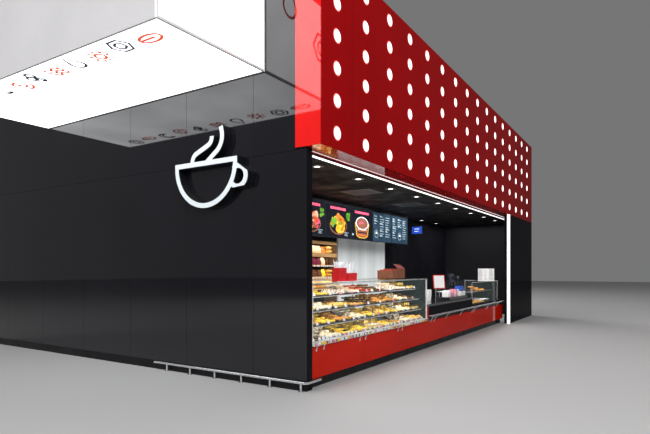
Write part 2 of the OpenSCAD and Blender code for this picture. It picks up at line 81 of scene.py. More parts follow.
def plug(tree, socket, value):
    """Links another node's output to a socket, or sets its number or colour."""
    if isinstance(value, bpy.types.NodeSocket):
        tree.links.new(value, socket)
    else:
        socket.default_value = value


def fill_in(tree, node, values):
    for name, value in values.items():
        plug(tree, node.inputs[name], value)


def add(tree, kind, *numbered, options=None, **named):
    """Adds a node, with values for its sockets in their order or by name."""
    node = tree.nodes.new("ShaderNode" + kind)
    for key, option in (options or {}).items():
        setattr(node, key, option)
    fill_in(tree, node, dict(enumerate(numbered)))
    fill_in(tree, node, {key.title(): value for key, value in named.items()})
    return node


def calc(tree, operation, *values):
    return add(tree, "Math", *values, options={"operation": operation}).outputs[0]


def object_place(tree):
    return add(tree, "TexCoord").outputs["Object"]


def along_axis(tree, axis):
    """A point's place along an axis in the part's own metres."""
    return add(tree, "SeparateXYZ", vector=object_place(tree)).outputs[axis]


def from_nearest(tree, axis, start, pitch):
    """Distance along an axis to the nearest of a row of evenly spaced points."""
    return calc(tree, "PINGPONG", calc(tree, "SUBTRACT", along_axis(tree, axis), start), pitch / 2)


def noise(tree, scale, detail=4.0, stretch=(1, 1, 1)):
    """Noise from 0 to 1 in the part's own metres, stretched along an axis by a small factor."""
    mapped = add(tree, "Mapping", vector=object_place(tree), scale=stretch).outputs[0]
    return add(tree, "TexNoise", vector=mapped, scale=scale, detail=detail).outputs["Fac"]


def blend(tree, factor, low, high):
    node = add(tree, "Mix", options={"data_type": "RGBA"})
    fill_in(tree, node, {0: factor, 6: low, 7: high})
    return node.outputs[2]


def spread(tree, factor, low=0.0, high=1.0):
    """Maps 0.3 to 0.7, where most noise lies, onto low to high."""
    return add(tree, "MapRange", factor, 0.3, 0.7, low, high).outputs[0]


def from_middle(tree, node_name, axis, margin, pitch):
    """Distance along an axis to the nearest middle in a node's row of like lights."""
    low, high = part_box(node_name)
    span = high[axis] - low[axis] - 2 * margin
    gaps = round(span / pitch)
    return from_nearest(tree, axis, low[axis] + margin, span / gaps if gaps else pitch)


def from_centre(tree, node_name, margin, *rows):
    """Distance to the centre of the nearest of a node's round lights; a row is its axis and pitch."""
    sides = [from_middle(tree, node_name, axis, margin, pitch) for axis, pitch in rows]
    return calc(tree, "SQRT", calc(tree, "ADD", *[calc(tree, "MULTIPLY", side, side) for side in sides]))


def bump(tree, height, distance):
    return add(tree, "Bump", strength=1.0, height=height, distance=distance).outputs[0]


def rgba(color, factor=1.0):
    return tuple(min(1.0, c * factor) for c in color) + (1.0,)


def grey(value):
    return (value, value, value, 1.0)


def surface(name, color, rough, vary=0.15, scale=3.0, metal=0.0, level=0.5, coat=0.0, grain=0.0,
            grain_scale=120.0, stretch=(1, 1, 1), lines=()):
    """A finish whose colour and gloss drift a little, with an optional fine grain and joint lines."""
    tree, shader = new_material(name)
    drift = spread(tree, noise(tree, scale, stretch=stretch))
    tone = blend(tree, drift, rgba(color, 1 - vary), rgba(color, 1 + vary))
    groove = None
    for axis, pitch, start, width in lines:
        mask = calc(tree, "LESS_THAN", from_nearest(tree, axis, start, pitch), width / 2)
        groove = mask if groove is None else calc(tree, "MAXIMUM", groove, mask)
    if groove is not None:
        tone = blend(tree, groove, tone, rgba(color, 0.25))
    if grain:
        fill_in(tree, shader, {"Normal": bump(tree, noise(tree, grain_scale, 3.0, stretch), grain)})
    elif groove is not None:
        fill_in(tree, shader, {"Normal": bump(tree, calc(tree, "SUBTRACT", 1.0, groove), 0.002)})
    smudge = noise(tree, scale * 2.7, 6.0, stretch)
    fill_in(tree, shader, {
        "Base Color": tone, "Roughness": spread(tree, smudge, rough * 0.7, min(1.0, rough * 1.4)),
        "Metallic": metal, "Specular IOR Level": level, "Coat Weight": coat, "Coat Roughness": 0.04})


def lamp_surface(name, color, strength, vary=0.04, scale=2.0):
    """A lit diffuser, a little brighter in some places than in others."""
    tree, shader = new_material(name)
    tone = blend(tree, spread(tree, noise(tree, scale, 2.0)), rgba(color, 1 - vary), rgba(color))
    fill_in(tree, shader, {
        "Base Color": tone, "Emission Color": tone, "Emission Strength": strength, "Roughness": 0.45})


def clear_glass(name, tint, body, edge):
    """Thin flat glass: nearly clear face on, and more of a mirror at a glancing angle."""
    tree, shader = new_material(name)
    facing = add(tree, "LayerWeight", blend=0.35).outputs["Facing"]
    film = noise(tree, 2.0, 5.0)
    cover = add(tree, "MapRange", facing, 0.0, 1.0, body, edge).outputs[0]
    fill_in(tree, shader, {
        "Base Color": blend(tree, film, rgba(tint, 0.9), rgba(tint)),
        "Alpha": calc(tree, "ADD", cover, calc(tree, "MULTIPLY", film, 0.01)),
        "Roughness": 0.03, "Specular IOR Level": 0.5})


def wood(name, dark, light, axis=1):
    """Oiled board with grain that runs along an axis."""
    tree, shader = new_material(name)
    stretch = [14, 14, 14]
    stretch[axis] = 0.9
    grain = noise(tree, 2.2, 8.0, stretch)
    fill_in(tree, shader, {
        "Base Color": blend(tree, spread(tree, grain), rgba(dark), rgba(light)),
        "Roughness": spread(tree, grain, 0.45, 0.62), "Normal": bump(tree, grain, 0.0006)})


def baked(name, pale, golden, brown, rough=0.55, scale=22.0):
    """Crust that is browner on top and paler at the sides, with an uneven bake."""
    tree, shader = new_material(name)
    upward = add(tree, "SeparateXYZ", vector=add(tree, "NewGeometry").outputs["Normal"]).outputs[2]
    bake = calc(tree, "ADD", upward, spread(tree, noise(tree, scale, 5.0), -0.35, 0.35))
    side = add(tree, "MapRange", bake, -0.2, 0.5).outputs[0]
    crown = add(tree, "MapRange", bake, 0.55, 1.15).outputs[0]
    tone = blend(tree, crown, blend(tree, side, rgba(pale), rgba(golden)), rgba(brown))
    batch = spread(tree, noise(tree, 3.1, 1.0), 0.0, 0.45)
    fill_in(tree, shader, {
        "Base Color": blend(tree, batch, tone, rgba(golden, 1.15)),
        "Roughness": spread(tree, noise(tree, scale * 3, 3.0), rough * 0.7, rough * 1.2),
        "Normal": bump(tree, noise(tree, scale * 7, 6.0), 0.0012)})


def light_up(tree, shader, lit, casing, rim, glow, strength, rough):
    """White and glowing where lit is 1, and the colours of the casing and its rim where it is 0."""
    fill_in(tree, shader, {
        "Base Color": blend(tree, lit, casing, grey(0.9)), "Emission Color": blend(tree, lit, rim, glow),
        "Emission Strength": strength, "Roughness": rough})


def downlight():
    """Lit lens inside a plain trim ring, found by the distance from the middle of each light."""
    tree, shader = new_material("downlight")
    away = from_centre(tree, "downlights", SPOT_D / 2, (0, SPOT_ROWS), (1, SPOT_PITCH))
    lit = calc(tree, "LESS_THAN", away, SPOT_D / 2 * SPOT_LIT_SHARE)
    light_up(tree, shader, lit, grey(0.10), grey(0), (1.0, 0.98, 0.95, 1), 3.0, 0.4)


def fascia_lens():
    """A fascia light: a white core inside a dimmer pink rim, whose pink glow is a painted halo."""
    tree, shader = new_material("fascia_lens")
    away = from_centre(tree, "fascia_lights", LENS_FLANGE, (1, LENS_PITCH), (2, LENS_ROW))
    core = add(tree, "MapRange", away, LENS_CORE, LENS_RIM, 1.0, 0.0).outputs[0]
    # The rim's pink glow is a painted halo of the lamp's light on the red flange round the lens
    rim, glow = (0.30, 0.045, 0.04, 1), (1.0, 0.99, 0.97, 1)
    light_up(tree, shader, core, (0.40, 0.02, 0.02, 1), rim, glow, 1.8, 0.3)


def lower_strip():
    """A strip lamp that shines only from its lower part."""
    tree, shader = new_material("lower_strip")
    low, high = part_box("ceiling_light_strip")
    lit = calc(tree, "LESS_THAN", along_axis(tree, 2), low[2] + STRIP_LIT_SHARE * (high[2] - low[2]))
    glow = blend(tree, noise(tree, 2.0, 2.0), (0.97, 0.97, 0.96, 1), (1.0, 1.0, 0.99, 1))
    light_up(tree, shader, lit, grey(0.02), grey(0), glow, 1.6, 0.5)


def ceiling_frame():
    """A dark slotted middle inside a lighter frame, on the square ceiling panels; the darker stripes are
    painted shade in the slots.
    """
    tree, shader = new_material("ceiling_frame")
    low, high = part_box("ceiling_panel_lights")
    size = high[0] - low[0]
    dx, dy = (from_middle(tree, "ceiling_panel_lights", axis, size / 2, PANEL_PITCH) for axis in (0, 1))
    middle = calc(tree, "LESS_THAN", calc(tree, "MAXIMUM", dx, dy), size * PANEL_MIDDLE_SHARE)
    vent = calc(tree, "LESS_THAN", calc(tree, "PINGPONG", dx, VENT_STEP), VENT_STEP / 2)
    # The darker stripes are painted shade in the vent slots
    inner = blend(tree, vent, (0.022, 0.022, 0.023, 1), (0.008, 0.008, 0.009, 1))
    rim = blend(tree, spread(tree, noise(tree, 4.0)), grey(0.07), grey(0.09))
    fill_in(tree, shader, {"Base Color": blend(tree, middle, rim, inner), "Roughness": 0.5})


# Meshes

SMOOTH_ANGLE = math.radians(40)
TIP = 0.001


class Shape:
    """Points and faces of one mesh, with a finish number for each face."""

    def __init__(self):
        self.points = []
        self.faces = []
        self.kinds = []

    def add(self, points, faces, kind=0):
        first = len(self.points)
        self.points += [tuple(p) for p in points]
        self.faces += [[first + i for i in face] for face in faces]
        self.kinds += [kind] * len(faces)

    def copy_in(self, other, place):
        first = len(self.kinds)
        self.add([place @ Vector(p) for p in other.points], other.faces)
        self.kinds[first:] = other.kinds

    def box(self, low, high, kind=0):
        corners = [(x, y, z) for z in (low[2], high[2]) for y in (low[1], high[1]) for x in (low[0], high[0])]
        sides = [(0, 2, 3, 1), (4, 5, 7, 6), (0, 1, 5, 4), (2, 6, 7, 3), (0, 4, 6, 2), (1, 3, 7, 5)]
        self.add(corners, sides, kind)

    def loft(self, rings, kind=0):
        """Skins a row of closed rings that all have the same number of points, and caps both ends."""
        count = len(rings[0])
        points = [p for ring in rings for p in ring]
        faces = []
        for low in range(0, len(points) - count, count):
            high = low + count
            for i in range(count):
                j = (i + 1) % count
                faces.append((low + i, low + j, high + j, high + i))
        faces.append(tuple(range(count))[::-1])
        faces.append(tuple(range(len(points) - count, len(points))))
        self.add(points, faces, kind)

    def lathe(self, profile, sides, kind=0, wobble=0.0):
        """Turns a list of (radius, height) about Z; wobble flutes the sides."""
        rings = []
        for radius, height in profile:
            ring = []
            for i in range(sides):
                a = 2 * math.pi * i / sides
                r = radius * (1 + wobble * (1 if i % 2 else -1))
                ring.append((r * math.cos(a), r * math.sin(a), height))
            rings.append(ring)
        self.loft(rings, kind)

    def slab(self, outline, plane, low, high, kind=0):
        """A flat plate: outline points in a plane given by its origin and two directions."""
        origin, across, up = (Vector(v) for v in plane)
        away = across.cross(up).normalized()
        rings = []
        for depth in (low, high):
            rings.append([origin + across * u + up * v + away * depth for u, v in outline])
        self.loft(rings, kind)


def turned(radius, height, *parts):
    """Turned parts on one axis: a profile in shares of radius and height, and what lathe takes."""
    shape = Shape()
    for profile, *rest in parts:
        shape.lathe([(radius * r, height * h) for r, h in profile], *rest)
    return shape


def walls(shape, low, high, thick):
    """Four walls round a rectangle, or a flat frame when they are low."""
    for y in (low[1], high[1] - thick):
        shape.box((low[0], y, low[2]), (high[0], y + thick, high[2]))
    for x in (low[0], high[0] - thick):
        shape.box((x, low[1] + thick, low[2]), (x + thick, high[1] - thick, high[2]))


def open_box(shape, low, high, wall=0.004, sheet=0.004):
    """A box or tray without a lid."""
    shape.box(low, (high[0], high[1], low[2] + sheet))
    walls(shape, (low[0], low[1], low[2] + sheet), high, wall)


def rectangle(width, height, left=0.0, low=0.0):
    return [(left, low), (left + width, low), (left + width, low + height), (left, low + height)]


def add_to_scene(name, data):
    thing = bpy.data.objects.new(name, data)
    bpy.context.scene.collection.objects.link(thing)
    return thing


def build(name, shape, finishes, smooth=False, bevel=0.0):
    """Makes a piece of the object that rides with it."""
    mesh = bpy.data.meshes.new(name)
    mesh.from_pydata(shape.points, [], shape.faces)
    for finish in finishes.split():
        mesh.materials.append(FINISH[finish])
    mesh.polygons.foreach_set("material_index", shape.kinds)
    if smooth:
        mesh.shade_smooth()
        mesh.set_sharp_from_angle(angle=SMOOTH_ANGLE)
    piece = add_to_scene(name, mesh)
    if bevel:
        rounding = piece.modifiers.new("rounding", "BEVEL")
        rounding.width = bevel
        rounding.segments = 2
        rounding.limit_method = "ANGLE"
    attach(piece, "root")


def ring_points(radius, count, start=0.0, end=360.0):
    whole = abs(end - start) >= 360
    steps = count if whole else count - 1
    angles = [math.radians(start + (end - start) * i / steps) for i in range(count)]
    return [(radius * math.cos(a), radius * math.sin(a)) for a in angles]


def place_at(x, y, z, turn=0.0, size=1.0):
    return Matrix.Translation((x, y, z)) @ Matrix.Rotation(turn, 4, "Z") @ Matrix.Scale(size, 4)


# Goods

def horn(bend=0.050, thick=0.029, steps=19, sides=10):
    """A crescent roll: thick in the middle, with the ridges of its rolled layers."""
    rings = []
    for k in range(steps):
        t = k / (steps - 1)
        turn = math.radians(160 * t - 80)
        ridge = 1 + 0.10 * math.cos(6 * 2 * math.pi * t)
        r = thick * (0.12 + 0.88 * math.sin(math.pi * t) ** 0.8) * ridge
        out = Vector((math.cos(turn), math.sin(turn), 0))
        centre = out * bend + Vector((-bend * 0.6, 0, thick * 0.8))
        rings.append([centre + out * (r * c * 1.1) + Vector((0, 0, r * s * 0.85))
                      for c, s in ring_points(1, sides)])
    shape = Shape()
    shape.loft(rings)
    return shape


def bun():
    """A round bun with a flat foot and a domed crown."""
    profile = [(0.001, 0), (0.72, 0.0), (0.93, 0.16), (1.0, 0.42), (0.93, 0.68), (0.70, 0.90),
               (0.36, 0.99), (0.001, 1.0)]
    return turned(0.046, 0.048, (profile, 14))


def loaf(length, width, height, cuts):
    """A long loaf with cuts across its crown."""
    rings = []
    steps, sides = 4 * cuts + 5, 10
    for k in range(steps):
        t = k / (steps - 1)
        full = math.sin(math.pi * min(1, max(0, 0.04 + 0.92 * t))) ** 0.38
        cut = 1 - 0.12 * (0.5 - 0.5 * math.cos(2 * math.pi * cuts * t)) if 0 < k < steps - 1 else 1
        rings.append([Vector((width / 2 * full * c, (t - 0.5) * length,
                              height / 2 * (1 + s * full * (cut if s > 0.3 else 1))))
                      for c, s in ring_points(1, sides)])
    shape = Shape()
    shape.loft(rings)
    return shape


def ring_cake(radius=0.032, thick=0.016, around=18, sides=10):
    """A glazed ring: dough below, glaze over the top half."""
    shape = Shape()
    for i in range(around):
        a, b = (2 * math.pi * k / around for k in (i, i + 1))
        for j in range(sides):
            c, d = (2 * math.pi * k / sides for k in (j, j + 1))
            glazed = math.sin((c + d) / 2) > 0.1
            swell = thick * (1.06 if glazed else 1.0)
            corners = []
            for turn, tilt in ((a, c), (b, c), (b, d), (a, d)):
                reach, rise = radius + swell * math.cos(tilt), swell * math.sin(tilt)
                corners.append((reach * math.cos(turn), reach * math.sin(turn), thick + rise))
            shape.add(corners, [(0, 1, 2, 3)], int(glazed))
    return shape


def tart(radius=0.042):
    """A fluted pastry cup with a filling that stands a little proud."""
    cup = [(0.78, 0), (1, 1), (0.9, 1), (0.88, 0.7)]
    filling = [(0.89, 0.72), (0.75, 1.05), (0.4, 1.25), (TIP / radius, 1.3)]
    return turned(radius, 0.026, (cup, 20, 0, 0.03), (filling, 16, 1))


def muffin(radius=0.034):
    """A paper cup with a risen top."""
    cup = [(0.75, 0), (1, 1)]
    top = [(0.98, 0.98), (1.2, 1.12), (1.12, 1.45), (0.75, 1.75), (0.3, 1.9), (TIP / radius, 1.92)]
    return turned(radius, 0.036, (cup, 20, 0, 0.035), (top, 14, 1))


def filled_bun(radius=0.048):
    """A split bun with leaf and cheese showing at the cut; its heights are in metres."""
    foot = [(TIP / radius, 0), (0.8, 0), (1, 0.010), (0.97, 0.018)]
    leaf = [(0.97, 0.018), (1.06, 0.021), (1.0, 0.024)]
    cheese = [(0.95, 0.024), (1.02, 0.027), (0.95, 0.030)]
    crown = [(0.96, 0.030), (0.98, 0.040), (0.8, 0.056), (0.4, 0.064), (TIP / radius, 0.066)]
    return turned(radius, 1, (foot, 14), (leaf, 18, 1, 0.03), (cheese, 14, 2), (crown, 14))


def plate(radius=0.085):
    """A round plate with a raised rim; its heights are in metres."""
    profile = [(0.6, 0), (0.66, 0.003), (1, 0.016), (0.98, 0.019), (0.64, 0.006), (TIP / radius, 0.006)]
    return turned(radius, 1, (profile, 22))


def layered(outline_at, layers):
    """Flat layers of one outline, each with a low and a high share and a finish number."""
    shape = Shape()
    for low, high, kind, *rest in layers:
        shape.loft([outline_at(share, *rest) for share in (low, high)], kind)
    return shape


def cake_slice(length=0.11, width=0.06, height=0.055):
    """A wedge of layer cake: sponge, cream, sponge and a glazed top."""
    wedge = [(-length / 2, 0), (length / 2, -width / 2), (length / 2, width / 2)]
    return layered(lambda share: [(x, y, height * share) for x, y in wedge],
                   [(0.0, 0.40, 0), (0.40, 0.52, 1), (0.52, 0.88, 0), (0.88, 1.0, 2)])


def sandwich(length=0.13, height=0.065, width=0.052):
    """Half a filled sandwich standing on its crust, with its cut side up and forward."""
    half = [(-length / 2, 0), (length / 2, 0), (0, height)]
    return layered(lambda share, grow: [(width * share, x * grow, z * grow) for x, z in half],
                   [(-0.5, -0.16, 0, 1.0), (-0.16, -0.06, 1, 1.05), (-0.06, 0.05, 2, 1.03),
                    (0.05, 0.15, 3, 1.06), (0.15, 0.5, 0, 1.0)])


def price_card(width=0.056, height=0.038, lean=0.35, clip=0.016):
    """A small card in a clip, leaning back, with a bare coloured edge."""
    shape = Shape()
    across, up = Vector((0, 1, 0)), Vector((-lean, 0, 1)).normalized()
    plane = ((0, 0, 0.004), across, up)
    shape.slab(rectangle(width, height, -width / 2), plane, 0, 0.0012)
    shape.slab(rectangle(width, height * 0.2, -width / 2, height * 0.8), plane, 0.0012, 0.0018, 1)
    shape.slab(rectangle(clip, clip / 2, -clip / 2), ((0, 0, 0), across, up), -0.002, 0.004, 2)
    return shape


def pouch(width, depth, height):
    """A soft bag that narrows to a pinched top."""
    rings = []
    for z, w, d in [(0.0, 0.86, 0.86), (0.06, 1.0, 1.0), (0.45, 0.98, 0.96), (0.75, 0.88, 0.62),
                    (0.9, 0.75, 0.22), (1.0, 0.80, 0.05)]:
        ring = []
        for c, s in ring_points(1, 16):
            swell = (abs(c) ** 4 + abs(s) ** 4) ** -0.25
            ring.append((depth / 2 * d * c * swell, width / 2 * w * s * swell, height * z))
        rings.append(ring)
    shape = Shape()
    shape.loft(rings)
    return shape


# Finishes of the building work: colour, roughness, then how far and how coarsely the colour drifts

surface("black_glass", (0.006, 0.006, 0.008), 0.03, 0.2, 0.7, level=0.0, coat=0.12)
surface("mirror_glass", (0.005, 0.005, 0.007), 0.025, 0.2, 0.7, level=0.58)
surface("black_paint", (0.007, 0.007, 0.008), 0.38, 0.25, 2.0, level=0.15, grain=0.0003, grain_scale=400.0)
surface("wall_board", (0.010, 0.010, 0.012), 0.55, 0.08, 1.2, level=0.15, grain=0.0002, grain_scale=40.0)
surface("back_board", (0.006, 0.006, 0.008), 0.42, 0.12, 0.8, level=0.15, lines=[(1, 1.2, 0.1, 0.006)])
surface("grey_board", (0.16, 0.16, 0.165), 0.7, 0.12, 0.9, grain=0.0006,
        lines=[(1, 1.25, 0.0, 0.006), (2, 2.6, 0.0, 0.006)])
surface("roof_sheet", (0.13, 0.13, 0.135), 0.75, 0.15, 0.7, grain=0.0008, lines=[(1, 1.0, 0.0, 0.012)])
surface("ceiling_tile", (0.014, 0.014, 0.015), 0.7, 0.05, 1.0, level=0.2,
        lines=[(0, 0.6, 0.0, 0.008), (1, 0.6, 0.2, 0.008)])
surface("red_glass", (0.28, 0.0010, 0.002), 0.04, 0.12, 0.5, level=0.0, coat=0.2,
        lines=[(1, 2.13, 0.624, 0.004)])
surface("red_casing", (0.62, 0.006, 0.005), 0.05, 0.06, 0.6, coat=0.3)
surface("red_panel", (0.44, 0.010, 0.002), 0.10, 0.10, 0.8, level=0.0, coat=0.22)
surface("pale_metal", (0.62, 0.62, 0.60), 0.30, 0.06, 4.0, grain=0.0001, grain_scale=500.0)
surface("steel", (0.62, 0.63, 0.64), 0.22, 0.10, 6.0, metal=0.75, stretch=(1, 0.08, 1), grain=0.0001,
        grain_scale=300.0)
surface("worktop", (0.018, 0.018, 0.021), 0.12, 0.3, 40.0, coat=0.4)
# Its colour drifts in vertical streaks, which are painted streaks of light down the panel
surface("pale_panel", (0.84, 0.88, 0.88), 0.35, 0.10, 3.0, stretch=(1, 1, 0.04),
        lines=[(1, 0.57, 0.05, 0.004)])
surface("canopy_board", (0.55, 0.54, 0.55), 0.6, 0.04, 1.0)
surface("screen_case", (0.016, 0.018, 0.026), 0.20, 0.2, 5.0)
surface("shelf_metal", (0.14, 0.14, 0.145), 0.28, 0.08, 3.0, metal=0.4)
wood("wood_dark", (0.10, 0.050, 0.022), (0.20, 0.11, 0.05), axis=2)
wood("wood_light", (0.42, 0.22, 0.08), (0.64, 0.38, 0.15))
clear_glass("case_glass", (0.30, 0.40, 0.38), 0.012, 0.08)
lamp_surface("strip_white", (1.0, 0.99, 0.98), 1.25)
lamp_surface("sign_white", (0.46, 0.50, 0.52), 0.42)
lamp_surface("diffuser_white", (0.80, 0.81, 0.82), 4.2, 0.30, 0.8)
downlight()
fascia_lens()
lower_strip()
ceiling_frame()

# Finishes of the goods: for a crust its sides, its top and its crown

baked("crust", (0.72, 0.38, 0.07), (0.62, 0.26, 0.03), (0.32, 0.10, 0.012))
baked("crust_pale", (0.84, 0.58, 0.20), (0.82, 0.46, 0.09), (0.58, 0.26, 0.04))
baked("sugared", (0.88, 0.83, 0.74), (0.84, 0.70, 0.46), (0.60, 0.36, 0.14), 0.75, 30.0)
baked("sponge", (0.88, 0.58, 0.08), (0.90, 0.58, 0.06), (0.82, 0.46, 0.05), 0.8, 60.0)
surface("custard", (0.90, 0.58, 0.03), 0.3, 0.15, 25.0, coat=0.2, grain=0.0008, grain_scale=110.0)
surface("cream", (0.84, 0.78, 0.66), 0.5, 0.08, 20.0, grain=0.0006, grain_scale=90.0)
surface("chocolate", (0.075, 0.028, 0.014), 0.22, 0.3, 12.0, coat=0.3)
surface("berry", (0.42, 0.018, 0.030), 0.15, 0.35, 30.0, coat=0.5, grain=0.001, grain_scale=160.0)
surface("apricot", (0.88, 0.42, 0.05), 0.18, 0.2, 25.0, coat=0.5, grain=0.001, grain_scale=140.0)
surface("leaf_green", (0.20, 0.40, 0.06), 0.5, 0.4, 40.0)
surface("cheese", (0.88, 0.60, 0.12), 0.4, 0.1, 20.0)
surface("wrap_cream", (0.80, 0.62, 0.38), 0.45, 0.14, 14.0)
surface("wrap_berry", (0.16, 0.010, 0.035), 0.35, 0.25, 14.0)
surface("wrap_orange", (0.72, 0.20, 0.03), 0.40, 0.2, 14.0)

# Finishes of trays, papers and packs

surface("tray_metal", (0.04, 0.04, 0.042), 0.35, 0.2, 9.0, metal=0.7)
lamp_surface("led_line", (1.0, 0.97, 0.90), 0.5)
surface("paper_white", (0.80, 0.80, 0.79), 0.75, 0.04, 8.0, grain=0.0003)
surface("paper_red", (0.60, 0.015, 0.02), 0.6, 0.1, 8.0, grain=0.0004)
surface("card_white", (0.82, 0.82, 0.81), 0.6, 0.03, 10.0)
surface("card_pink", (0.80, 0.30, 0.42), 0.6, 0.08, 10.0)
surface("print_grey", (0.42, 0.40, 0.42), 0.6, 0.2, 30.0)
surface("film_blue", (0.03, 0.10, 0.50), 0.3, 0.2, 14.0)
surface("tissue", (0.80, 0.82, 0.86), 0.8, 0.06, 30.0, grain=0.002, grain_scale=60.0)
surface("lid_red", (0.24, 0.05, 0.045), 0.6, 0.12, 9.0)
surface("carton", (0.20, 0.075, 0.040), 0.8, 0.12, 10.0, grain=0.0005, stretch=(1, 6, 1))

# Finishes of the marks on screens and canopy: colour, strength and drift

for mark, color, strength, vary, scale in [
        ("pink", (0.90, 0.08, 0.16), 0.9, 0.2, 60.0), ("orange", (0.86, 0.20, 0.015), 0.8, 0.6, 40.0),
        ("yellow", (0.92, 0.55, 0.03), 0.8, 0.5, 40.0), ("green", (0.16, 0.42, 0.03), 0.7, 0.6, 50.0),
        ("white", (0.80, 0.84, 0.88), 0.9, 0.1, 30.0), ("brown", (0.34, 0.12, 0.07), 0.6, 0.6, 50.0),
        ("cream", (0.80, 0.45, 0.28), 0.7, 0.5, 50.0), ("slate", (0.020, 0.050, 0.085), 0.8, 0.6, 9.0),
        ("chalk", (0.34, 0.48, 0.56), 0.8, 0.5, 40.0), ("night", (0.004, 0.005, 0.010), 0.6, 0.5, 7.0),
        ("blue", (0.012, 0.06, 0.42), 0.9, 0.3, 20.0), ("ink", (0.09, 0.11, 0.14), 0.4, 0.3, 12.0),
        ("red", (0.80, 0.12, 0.06), 0.75, 0.15, 12.0)]:
    lamp_surface(f"mark_{mark}", color, strength, vary, scale)
# Grey of the canopy's edge strips: painted shade where its lit faces meet
surface("shade_line_grey", (0.66, 0.66, 0.66), 0.4, 0.08, 5.0)

NODES_WITH = {
    "black_glass": "corner_post side_wall service_band", "mirror_glass": "front_glass",
    "black_paint": "front_plinth counter_plinth counter_carcass small_case_base menu_hangers cup_sign_body",
    "wall_board": "front_wall far_wall far_return", "back_board": "back_wall", "grey_board": "left_wall",
    "roof_sheet": "roof_deck", "ceiling_tile": "kiosk_ceiling", "downlight": "downlights",
    "ceiling_frame": "ceiling_panel_lights", "red_glass": "fascia_face", "fascia_lens": "fascia_lights",
    "red_casing": "fascia_casing", "strip_white": "corner_light_strip", "lower_strip": "ceiling_light_strip",
    "red_panel": "counter_red_panels", "pale_metal": "case_deck case_posts case_rails",
    "case_glass": "case_glass small_case_glass", "shelf_metal": "case_shelves small_case_shelf",
    "worktop": "service_worktop", "steel": "small_case_frame tray_rail rail_brackets bumper_rail",
    "screen_case": "menu_screens order_monitor", "pale_panel": "pale_wall_panel",
    "wood_dark": "bread_rack_sides", "wood_light": "bread_rack_shelves",
    "diffuser_white": "canopy_diffusers", "canopy_board": "canopy_cover", "sign_white": "cup_sign_face",
}
for finish, names in NODES_WITH.items():
    for node_name in names.split():
        materials = nodes[node_name].data.materials
        materials.clear()
        materials.append(FINISH[finish])


# Stage, lights and camera

def make_stage(size=60):
    tree, shader = new_material("floor_pale")
    fill_in(tree, shader, {"Base Color": grey(0.40), "Roughness": 0.6})
    mesh = bpy.data.meshes.new("floor")
    mesh.from_pydata([(-size, -size, 0), (size, -size, 0), (size, size, 0), (-size, size, 0)], [],
                     [(0, 1, 2, 3)])
    mesh.materials.append(FINISH["floor_pale"])
    floor = add_to_scene("floor", mesh)


def area_lamp(name, place, target, size, power, size_y=None):
    data = bpy.data.lights.new(name, "AREA")
    data.energy = power
    data.shape = "RECTANGLE"
    data.size = size
    data.size_y = size_y or size
    lamp = add_to_scene(name, data)
    lamp.location = place
    lamp.rotation_euler = (Vector(target) - Vector(place)).to_track_quat("-Z", "Y").to_euler()
    lamp.visible_glossy = False


def make_lights():
    world = bpy.data.worlds.new("studio")
    bpy.context.scene.world = world
    world.use_nodes = True
    sky = world.node_tree.nodes["Background"]
    sky.inputs["Color"].default_value = (0.60, 0.60, 0.61, 1)
    sky.inputs["Strength"].default_value = 0.30
    for name, place, target, size, power in [
            ("key", (11, -9.5, 9.5), (0, 3.5, 1.5), 8, 2900),
            ("front_fill", (-5, -15, 8), (-3, 0, 2), 9, 1200),
            ("top_fill", (-3, 5, 16), (-3, 5, 0), 12, 1300),
            ("back_fill", (-17, 20, 15), (-4, 6, 1), 12, 3000)]:
        area_lamp(name, place, target, size, power)
    # Under the unit's own ceiling
    middle_x = (BACK_X + COUNTER_X) / 2
    for i in range(4):
        y = 1.4 + 2.9 * i
        area_lamp(f"ceiling_{i}", (middle_x, y, CEILING_Z - 0.03), (middle_x, y, 0), 1.9, 60, 2.4)


def make_camera():
    data = bpy.data.cameras.new("camera")
    data.sensor_width = 36
    data.lens = 28.52
    data.shift_y = 0.08
    data.clip_end = 200
    camera = add_to_scene("camera", data)
    camera.location = (3.415, -4.891, 1.40)
    camera.rotation_euler = (math.radians(90), 0, math.radians(32.6))
    bpy.context.scene.camera = camera


# Goods in the pastry case

MODULES = 3
TIERS = 4
TRAYS_PER_MODULE = 3
ROWS_PER_TRAY = 4
MODULE_L = 1.217
CASE_BAR = 0.018
SHELF_STEP = 0.055
TIER_PITCH = (CASE_HIGH[2] - DECK_HIGH[2]) / TIERS
TRAY_SETBACK = 0.035
TRAY_BACK = CASE_LOW[0] + 0.04
TRAY_SHEET = 0.0015
TRAY_RIM = 0.004
TRAY_HIGH = 0.010
GAP_SHARE = 0.05

# Maker, finishes, pitch along the tray, pitch from row to row, and rise of a layer
GOODS = {
    "horns": (horn, "crust", 0.098, 0.100, 0.030),
    "sugar_horns": (horn, "sugared", 0.098, 0.100, 0.030),
    "buns": (bun, "crust", 0.098, 0.100, 0.034),
    "pale_buns": (bun, "crust_pale", 0.098, 0.100, 0.034),
    "sugar_buns": (bun, "sugared", 0.098, 0.100, 0.034),
    "ring_cakes": (ring_cake, "crust_pale berry", 0.104, 0.104, 0.030),
    "custard_rings": (ring_cake, "crust_pale custard", 0.104, 0.104, 0.030),
    "dark_rings": (ring_cake, "crust chocolate", 0.104, 0.104, 0.030),
    "apricot_rings": (ring_cake, "crust apricot", 0.104, 0.104, 0.030),
    "tarts": (tart, "crust_pale apricot", 0.092, 0.092, 0.0),
    "muffins": (muffin, "paper_white crust", 0.090, 0.090, 0.0),
    "cake_slices": (cake_slice, "sponge cream cream", 0.070, 0.125, 0.056),
    "dark_slices": (cake_slice, "sponge cream chocolate", 0.070, 0.125, 0.056),
    "sandwiches": (sandwich, "cream leaf_green cheese berry", 0.142, 0.062, 0.0),
    "filled_buns": (filled_bun, "crust_pale leaf_green cheese", 0.108, 0.108, 0.0),
}
